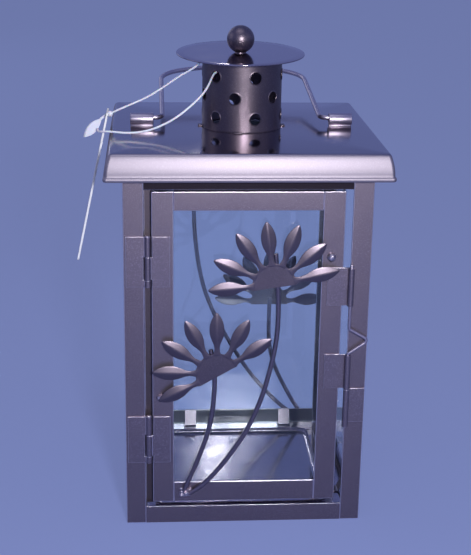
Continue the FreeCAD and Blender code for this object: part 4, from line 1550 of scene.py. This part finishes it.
@dataclass
class Decoration:
    """Two flowers on their stems, with the weld that joins the stems and the lugs behind the outer petals."""

    side: Side
    body: Body
    # x, z and lean of the upper and the lower flower
    flowers_mm: tuple[Point, ...]
    # x and z of the weld, and of the control points of the long and the short stem
    weld_mm: Pair
    stems_mm: tuple[tuple[Pair, ...], ...]
    stem_radius_mm: float = 1.45
    # How far from the lantern's middle the stems, the flowers' backs and the door's face are
    stem_out_mm: float = 72.55
    flower_out_mm: float = 74.0
    face_mm: float = 71.0
    weld_radius_mm: float = 3.6
    # The weld's half width and half height as shares of its radius, and how far it stands over the stems
    weld_across: float = 1.3
    weld_along: float = 0.95
    weld_over_mm: float = 1.6
    weld_lumps: float = 0.45
    # The height of a lug's head as a share of the CAD lug's
    head_share: float = 0.66
    head_lumps: float = 0.12
    # How fine the lumps are over a bead, and how far off they are quite different ones
    lumps_across: float = 2.4
    lumps_apart_mm: float = 7.0
    bead_steps: int = 4

    def build(self, finisher: Finisher, pattern: Piece) -> None:
        """Place the flowers and model the stems, the weld and the lugs.

        Args:
            finisher: Gives the pieces their finish and body.
            pattern: The flower that is copied.
        """
        label = self.side.name.lower()
        for level, place in zip(("upper", "lower"), self.flowers_mm):
            node = f"flower_{label}_{level}"
            flower = duplicate(pattern, self._flower_matrix(*place))
            flower.name = node + "_stamped"
            finisher.dress(flower, Finish.STAMPED, self.body, node)
        for length, route in zip(("long", "short"), self.stems_mm):
            node = f"stem_{label}_{length}"
            points = [metres((x, self.stem_out_mm * self.side.value, z)) for x, z in route]
            rod = SmoothRod(node + "_wire", points, self.stem_radius_mm * MM).mesh()
            finisher.dress(rod, Finish.WIRE, self.body, node)
        node = f"welds_{label}"
        finisher.dress(self._welds(node), Finish.BEAD, self.body, node)

    def _flower_matrix(self, x: float, z: float, lean: float) -> Matrix:
        """Find where a flower stands.

        Args:
            x: How far the flower's middle is to the right, in mm.
            z: Its height, in mm.
            lean: The angle of its middle petal, in degrees.

        Returns:
            What moves the pattern there.
        """
        facing = self.side.value
        turn = Matrix.Rotation(math.radians(-facing * (lean - 90)), 4, "Z")
        stand = Matrix.Rotation(math.radians(90), 4, "X")
        about = Matrix.Rotation(math.pi, 4, "Z") if facing > 0 else Matrix.Identity(4)
        return Matrix.Translation(metres((x, self.flower_out_mm * facing, z))) @ about @ stand @ turn

    def _welds(self, node: str) -> Piece:
        """Make the weld bead round the stems' ends and the domed lugs behind the outer petals.

        Args:
            node: The CAD node that gives the lugs' places.

        Returns:
            The weld and the lugs.
        """
        weld = Vector(self.weld_mm)
        beads = []
        for low, high in self._loose_boxes(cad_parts[node].data):
            middle = (high + low) / 2
            if (middle.xz / MM - weld).length > self.weld_radius_mm:
                tall = (high.z - low.z) * self.head_share
                base = Vector((middle.x, low.y if self.side is Side.BACK else high.y, high.z - tall / 2))
                size = Vector(((high.x - low.x) / 2, high.y - low.y, tall / 2))
                beads.append(self._bead(base, size, self.head_lumps))
        out = self.stem_out_mm + self.stem_radius_mm + self.weld_over_mm - self.face_mm
        size = metres((self.weld_radius_mm * self.weld_across, out, self.weld_radius_mm * self.weld_along))
        base = metres((weld.x, self.face_mm * self.side.value, weld.y))
        beads.append(self._bead(base, size, self.weld_lumps))
        return join(node + "_beads", beads)

    def _bead(self, base: Vector, size: Vector, lumps: float) -> Piece:
        """Make a dome of once-molten metal on a flat base.

        Args:
            base: The middle of its base.
            size: Its half width, its height off the base and its half length.
            lumps: How much its surface swells and sinks, as a share.

        Returns:
            The dome.
        """
        bpy.ops.mesh.primitive_ico_sphere_add(subdivisions=self.bead_steps, radius=1)
        bead = bpy.context.object
        for vertex in bead.data.vertices:
            spot = vertex.co * self.lumps_across + base / (self.lumps_apart_mm * MM)
            vertex.co = base + vertex.co * size * (1 - lumps * (0.5 + noise.noise(spot)))
        with editing(bead):
            select_all()
            way = (0, self.side.value, 0)
            bpy.ops.mesh.bisect(plane_co=base, plane_no=way, clear_inner=True, use_fill=True)
            turn_outwards()
        smooth(bead, degrees=60)
        return bead

    def _loose_boxes(self, mesh: bpy.types.Mesh) -> list[tuple[Vector, Vector]]:
        """Measure each separate solid of a mesh.

        Args:
            mesh: A CAD node's mesh.

        Returns:
            The lowest and highest corner of each solid, in the order of their places.
        """
        copy = bmesh.new()
        copy.from_mesh(mesh)
        bmesh.ops.remove_doubles(copy, verts=copy.verts, dist=MERGE)
        boxes = []
        left = set(copy.verts)
        while left:
            solid, reached = [], [left.pop()]
            while reached:
                vertex = reached.pop()
                solid.append(vertex.co)
                neighbours = {edge.other_vert(vertex) for edge in vertex.link_edges} & left
                left -= neighbours
                reached += neighbours
            low, high = (Vector([limit(values) for values in zip(*solid)]) for limit in (min, max))
            boxes.append((low, high))
        copy.free()
        return sorted(boxes, key=lambda box: tuple(box[0]))


FRONT_DECORATION = Decoration(
    side=Side.FRONT,
    body=Body.DOOR,
    flowers_mm=((15.2, 153.6, 98.5), (-17.1, 99.0, 119.8)),
    weld_mm=(-35.6, 20.8),
    stems_mm=(
        (
            (15.65, 171.9),
            (17.3, 154.5),
            (18.2, 137.3),
            (17.6, 120.2),
            (14.7, 103.0),
            (9.6, 82.5),
            (1.6, 62.3),
            (-8.7, 45.8),
            (-19.4, 31.65),
            (-27.3, 24.0),
            (-33.9, 20.2),
        ),
        (
            (-20.9, 113.5),
            (-18.2, 99.0),
            (-18.7, 84.2),
            (-20.3, 68.1),
            (-23.8, 55.0),
            (-29.4, 39.5),
            (-33.6, 29.2),
            (-36.9, 20.8),
        ),
    ),
)

BACK_DECORATION = Decoration(
    side=Side.BACK,
    body=Body.FRAME,
    flowers_mm=((-26.0, 166.0, 79.2), (26.6, 91.0, 90.0)),
    weld_mm=(50.6, 5.4),
    stems_mm=(
        (
            (-26.4, 168.0),
            (-26.3, 149.0),
            (-24.4, 128.5),
            (-20.7, 107.0),
            (-14.8, 89.5),
            (-6.7, 72.5),
            (3.2, 54.8),
            (14.8, 36.8),
            (27.6, 21.9),
            (39.5, 9.8),
            (48.8, 4.4),
        ),
        (
            (26.8, 95.0),
            (26.5, 75.5),
            (26.9, 63.0),
            (28.9, 51.0),
            (32.9, 39.5),
            (39.9, 25.5),
            (47.3, 11.9),
            (52.6, 5.5),
        ),
    ),
)


@dataclass
class TagLoop:
    """Blank swing tag with its loop: two strands and a lock."""

    edge_mm: float = 0.12
    # The folded card's thickness as a multiple of the CAD tag's
    leaves: float = 2.6
    tag_corner_mm: float = 14.0
    lock_edge_mm: float = 0.45
    strand_mm: float = 0.6
    upper_length_mm: float = 75.3
    lower_length_mm: float = 102.6
    upper_route_mm: tuple[Point, ...] = (
        (-16.9, -13.0, 268.0),
        (-17.8, -12.4, 270.8),
        (-19.8, -11.3, 272.9),
        (-22.7, -9.9, 273.2),
        (-25.4, -8.7, 271.0),
        (-27.9, -7.5, 267.9),
        (-32.3, -6.1, 265.0),
        (-38.6, -5.0, 261.2),
        (-47.0, -4.8, 255.2),
        (-56.4, -5.1, 249.3),
        (-65.8, -5.0, 245.1),
        (-73.4, -4.8, 241.9),
        (-78.4, -4.4, 239.4),
    )
    lower_route_mm: tuple[Point, ...] = (
        (-14.6, -12.2, 266.4),
        (-16.0, -14.6, 266.2),
        (-17.9, -17.9, 265.2),
        (-19.4, -21.9, 263.2),
        (-21.4, -26.0, 259.5),
        (-25.0, -30.6, 255.1),
        (-31.0, -34.0, 249.9),
        (-39.5, -35.0, 243.0),
        (-49.0, -35.0, 237.7),
        (-58.6, -35.0, 234.4),
        (-68.4, -34.2, 233.4),
        (-76.3, -32.6, 233.9),
        (-81.0, -30.3, 233.6),
        (-84.3, -26.6, 232.7),
        (-85.9, -22.0, 232.0),
        (-86.4, -17.4, 232.5),
    )

    def build(self, finisher: Finisher) -> None:
        """Args:
            finisher: Gives the pieces their finish and body.
        """
        finisher.dress(self._tag(), Finish.CARD, Body.FRAME, "swing_tag")
        lock = finisher.dress_copy("loop_lock", self.lock_edge_mm, Finish.LOOP, Body.FRAME, segments=3)
        smooth(lock, degrees=70)
        strands = (
            ("loop_upper", self.upper_route_mm, self.upper_length_mm, 0, "fitting", (lock,)),
            ("loop_lower", self.lower_route_mm, self.lower_length_mm, -1, "object", ()),
        )
        for node, route, length, start, far_end, with_pieces in strands:
            points = [metres(point) for point in route]
            strand = SmoothRod(node + "_strand", points, self.strand_mm * MM).curve()
            finisher.dress(strand, Finish.LOOP, Body.FRAME, node)

    def _tag(self) -> Piece:
        """Make the folded card: the tag's outline with clipped top corners, thicker towards the lantern.

        Returns:
            The card.
        """
        low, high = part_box("swing_tag")
        slant = self.tag_corner_mm * MM * math.sqrt(0.5)
        cuts = []
        for side, edge in ((-1, low.y), (1, high.y)):
            way = Vector((0, side, 1)).normalized()
            cuts.append((Vector((0, edge, high.z)) - way * slant, way))
        tag = rounded_copy("swing_tag", self.edge_mm, cuts=cuts)
        mesh = tag.data
        normal = max(mesh.polygons, key=lambda face: face.area).normal.copy()
        if normal.x > 0:
            normal.negate()
        outside = max(normal.dot(vertex.co) for vertex in mesh.vertices)
        for vertex in mesh.vertices:
            vertex.co += normal * (normal.dot(vertex.co) - outside) * (self.leaves - 1)
        keep_flat(tag)
        return tag


@dataclass(frozen=True)
class Lamp:
    """A square lamp that faces a target, by its place, width and power in metres and watts."""

    name: str
    place: Point
    target: Point
    width: float
    power: float

    def build(self) -> None:
        """Add the lamp."""
        data = bpy.data.lights.new(self.name, "AREA")
        data.shape = "SQUARE"
        data.size = self.width
        data.energy = self.power
        lamp = new_object(self.name, data)
        lamp.location = self.place
        lamp.rotation_euler = (Vector(self.target) - Vector(self.place)).to_track_quat("-Z", "Y").to_euler()


@dataclass
class Studio:
    """Camera, floor, world and lamps."""

    camera_mm: Point = (-53.5, -746.9, 383.3)
    yaw: float = 3.934
    pitch: float = 18.448
    roll: float = 0.861
    focal_px: float = 1246.9
    # The frame's longer side, which Blender fits the sensor's width to
    frame_px: float = 555.0
    sensor_mm: float = 36.0
    nearest_mm: float = 10.0
    floor_colour: str = "#828FC8"
    backdrop_colour: str = "#737FB9"
    world_colour: str = "#D0D0DC"
    world_level: float = 0.3
    # How much the floor shows its plain colour to the camera and in gloss, and how much of a plain colour shows
    # through glass
    glow_share: float = 0.6
    mirrored_share: float = 0.3
    through_share: float = 0.78
    floor_radius: float = 8.0
    floor_steps: int = 96
    # A small lamp beside the camera for the glints, large soft ones above and at the sides, and a weak far one
    # behind the lantern
    lamps: tuple[Lamp, ...] = (
        Lamp("key_lamp", (0.06, -0.8, 0.42), (0, 0, 0.13), 0.07, 5.0),
        Lamp("top_lamp", (-0.2, -0.3, 1.6), (0, 0, 0.1), 1.0, 2.5),
        Lamp("side_lamp", (1.5, -0.7, 0.9), (0, 0, 0.12), 0.9, 0.6),
        Lamp("left_lamp", (-1.7, 0.25, 0.8), (0, 0, 0.12), 0.9, 1.6),
        Lamp("rear_lamp", (-0.9, 1.7, 0.9), (0, 0, 0.12), 0.9, 1.6),
        Lamp("back_lamp", (0.15, 3.2, 1.59), (0, 0, 0), 0.07, 0.36),
    )

    def build(self) -> None:
        """Set the scene up."""
        bpy.context.scene.view_settings.view_transform = "Standard"
        self._camera()
        self._floor()
        self._world()
        for lamp in self.lamps:
            lamp.build()

    def _camera(self) -> None:
        """Add the camera at the photograph's place."""
        yaw, pitch, roll = (math.radians(value) for value in (self.yaw, self.pitch, self.roll))
        ahead = Vector((math.sin(yaw) * math.cos(pitch), math.cos(yaw) * math.cos(pitch), -math.sin(pitch)))
        right = Vector((math.cos(yaw), -math.sin(yaw), 0))
        up = right.cross(ahead)
        rolled_right = right * math.cos(roll) + up * math.sin(roll)
        rolled_up = up * math.cos(roll) - right * math.sin(roll)
        data = bpy.data.cameras.new("camera")
        data.sensor_width = self.sensor_mm
        data.lens = self.focal_px * self.sensor_mm / self.frame_px
        data.clip_start = self.nearest_mm * MM
        camera = new_object("camera", data)
        turn = Matrix((rolled_right, rolled_up, -ahead)).transposed().to_4x4()
        camera.matrix_world = Matrix.Translation(metres(self.camera_mm)) @ turn
        bpy.context.scene.camera = camera

    def _floor(self) -> None:
        """Add a plain pale floor."""
        bpy.ops.mesh.primitive_circle_add(vertices=self.floor_steps, radius=self.floor_radius, fill_type="NGON")
        floor = added("studio_floor")
        material, tree = new_material("pale_floor")
        colour = linear(self.floor_colour)
        shader = add_node(tree, "ShaderNodeBsdfDiffuse", {"Color": colour})
        glow = add_node(tree, "ShaderNodeEmission", {"Color": colour, "Strength": 1.0})
        seen = self._seen(tree, self.glow_share, self.mirrored_share)
        mixed = add_node(
            tree, "ShaderNodeMixShader", {"Fac": seen, 1: shader.outputs["BSDF"], 2: glow.outputs["Emission"]}
        )
        add_node(tree, "ShaderNodeOutputMaterial", {"Surface": mixed.outputs["Shader"]})
        floor.data.materials.append(material)

    def _seen(self, tree: Tree, plain: float, mirrored: float) -> bpy.types.NodeSocket:
        """How much a surface shows its plain colour instead of the light on it.

        Args:
            tree: The material's or the world's node tree.
            plain: The share for the camera. What shows through glass gets part of it.
            mirrored: The share for what shows in gloss.

        Returns:
            A socket with the share, 0 for all other light.
        """
        path = add_node(tree, "ShaderNodeLightPath")
        seen = 0.0
        for kind, share in (
            ("Is Camera Ray", plain),
            ("Is Transmission Ray", plain * self.through_share),
            ("Is Glossy Ray", mirrored),
        ):
            seen = add_node(
                tree,
                "ShaderNodeMath",
                {0: path.outputs[kind], 1: share, 2: seen},
                operation="MULTIPLY_ADD",
                use_clamp=True,
            ).outputs["Value"]
        return seen

    def _world(self) -> None:
        """Add a plain world that lights evenly and shows the backdrop's colour."""
        world = bpy.data.worlds.new("studio_world")
        world.use_nodes = True
        tree = world.node_tree
        tree.nodes.clear()
        light, shown = (
            add_node(tree, "ShaderNodeBackground", {"Color": linear(colour), "Strength": level})
            for colour, level in ((self.world_colour, self.world_level), (self.backdrop_colour, 1.0))
        )
        mixed = add_node(
            tree,
            "ShaderNodeMixShader",
            {"Fac": self._seen(tree, 1.0, 1.0), 1: light.outputs["Background"], 2: shown.outputs["Background"]},
        )
        add_node(tree, "ShaderNodeOutputWorld", {"Surface": mixed.outputs["Shader"]})
        bpy.context.scene.world = world


def main() -> None:
    """Build the studio, then the lantern's pieces in order."""
    logging.basicConfig(level=logging.INFO, format="%(name)s: %(message)s")
    finisher = Finisher()
    Studio().build()
    for assembly in (TagLoop(), SheetFrame(), CandleTray(), Panes(), Lid(), Chimney(), Cap(), Bail(), Door()):
        assembly.build(finisher)
    pattern = Flower().build()
    for decoration in (FRONT_DECORATION, BACK_DECORATION):
        decoration.build(finisher, pattern)
    bpy.data.objects.remove(pattern)


if __name__ == "__main__":
    main()
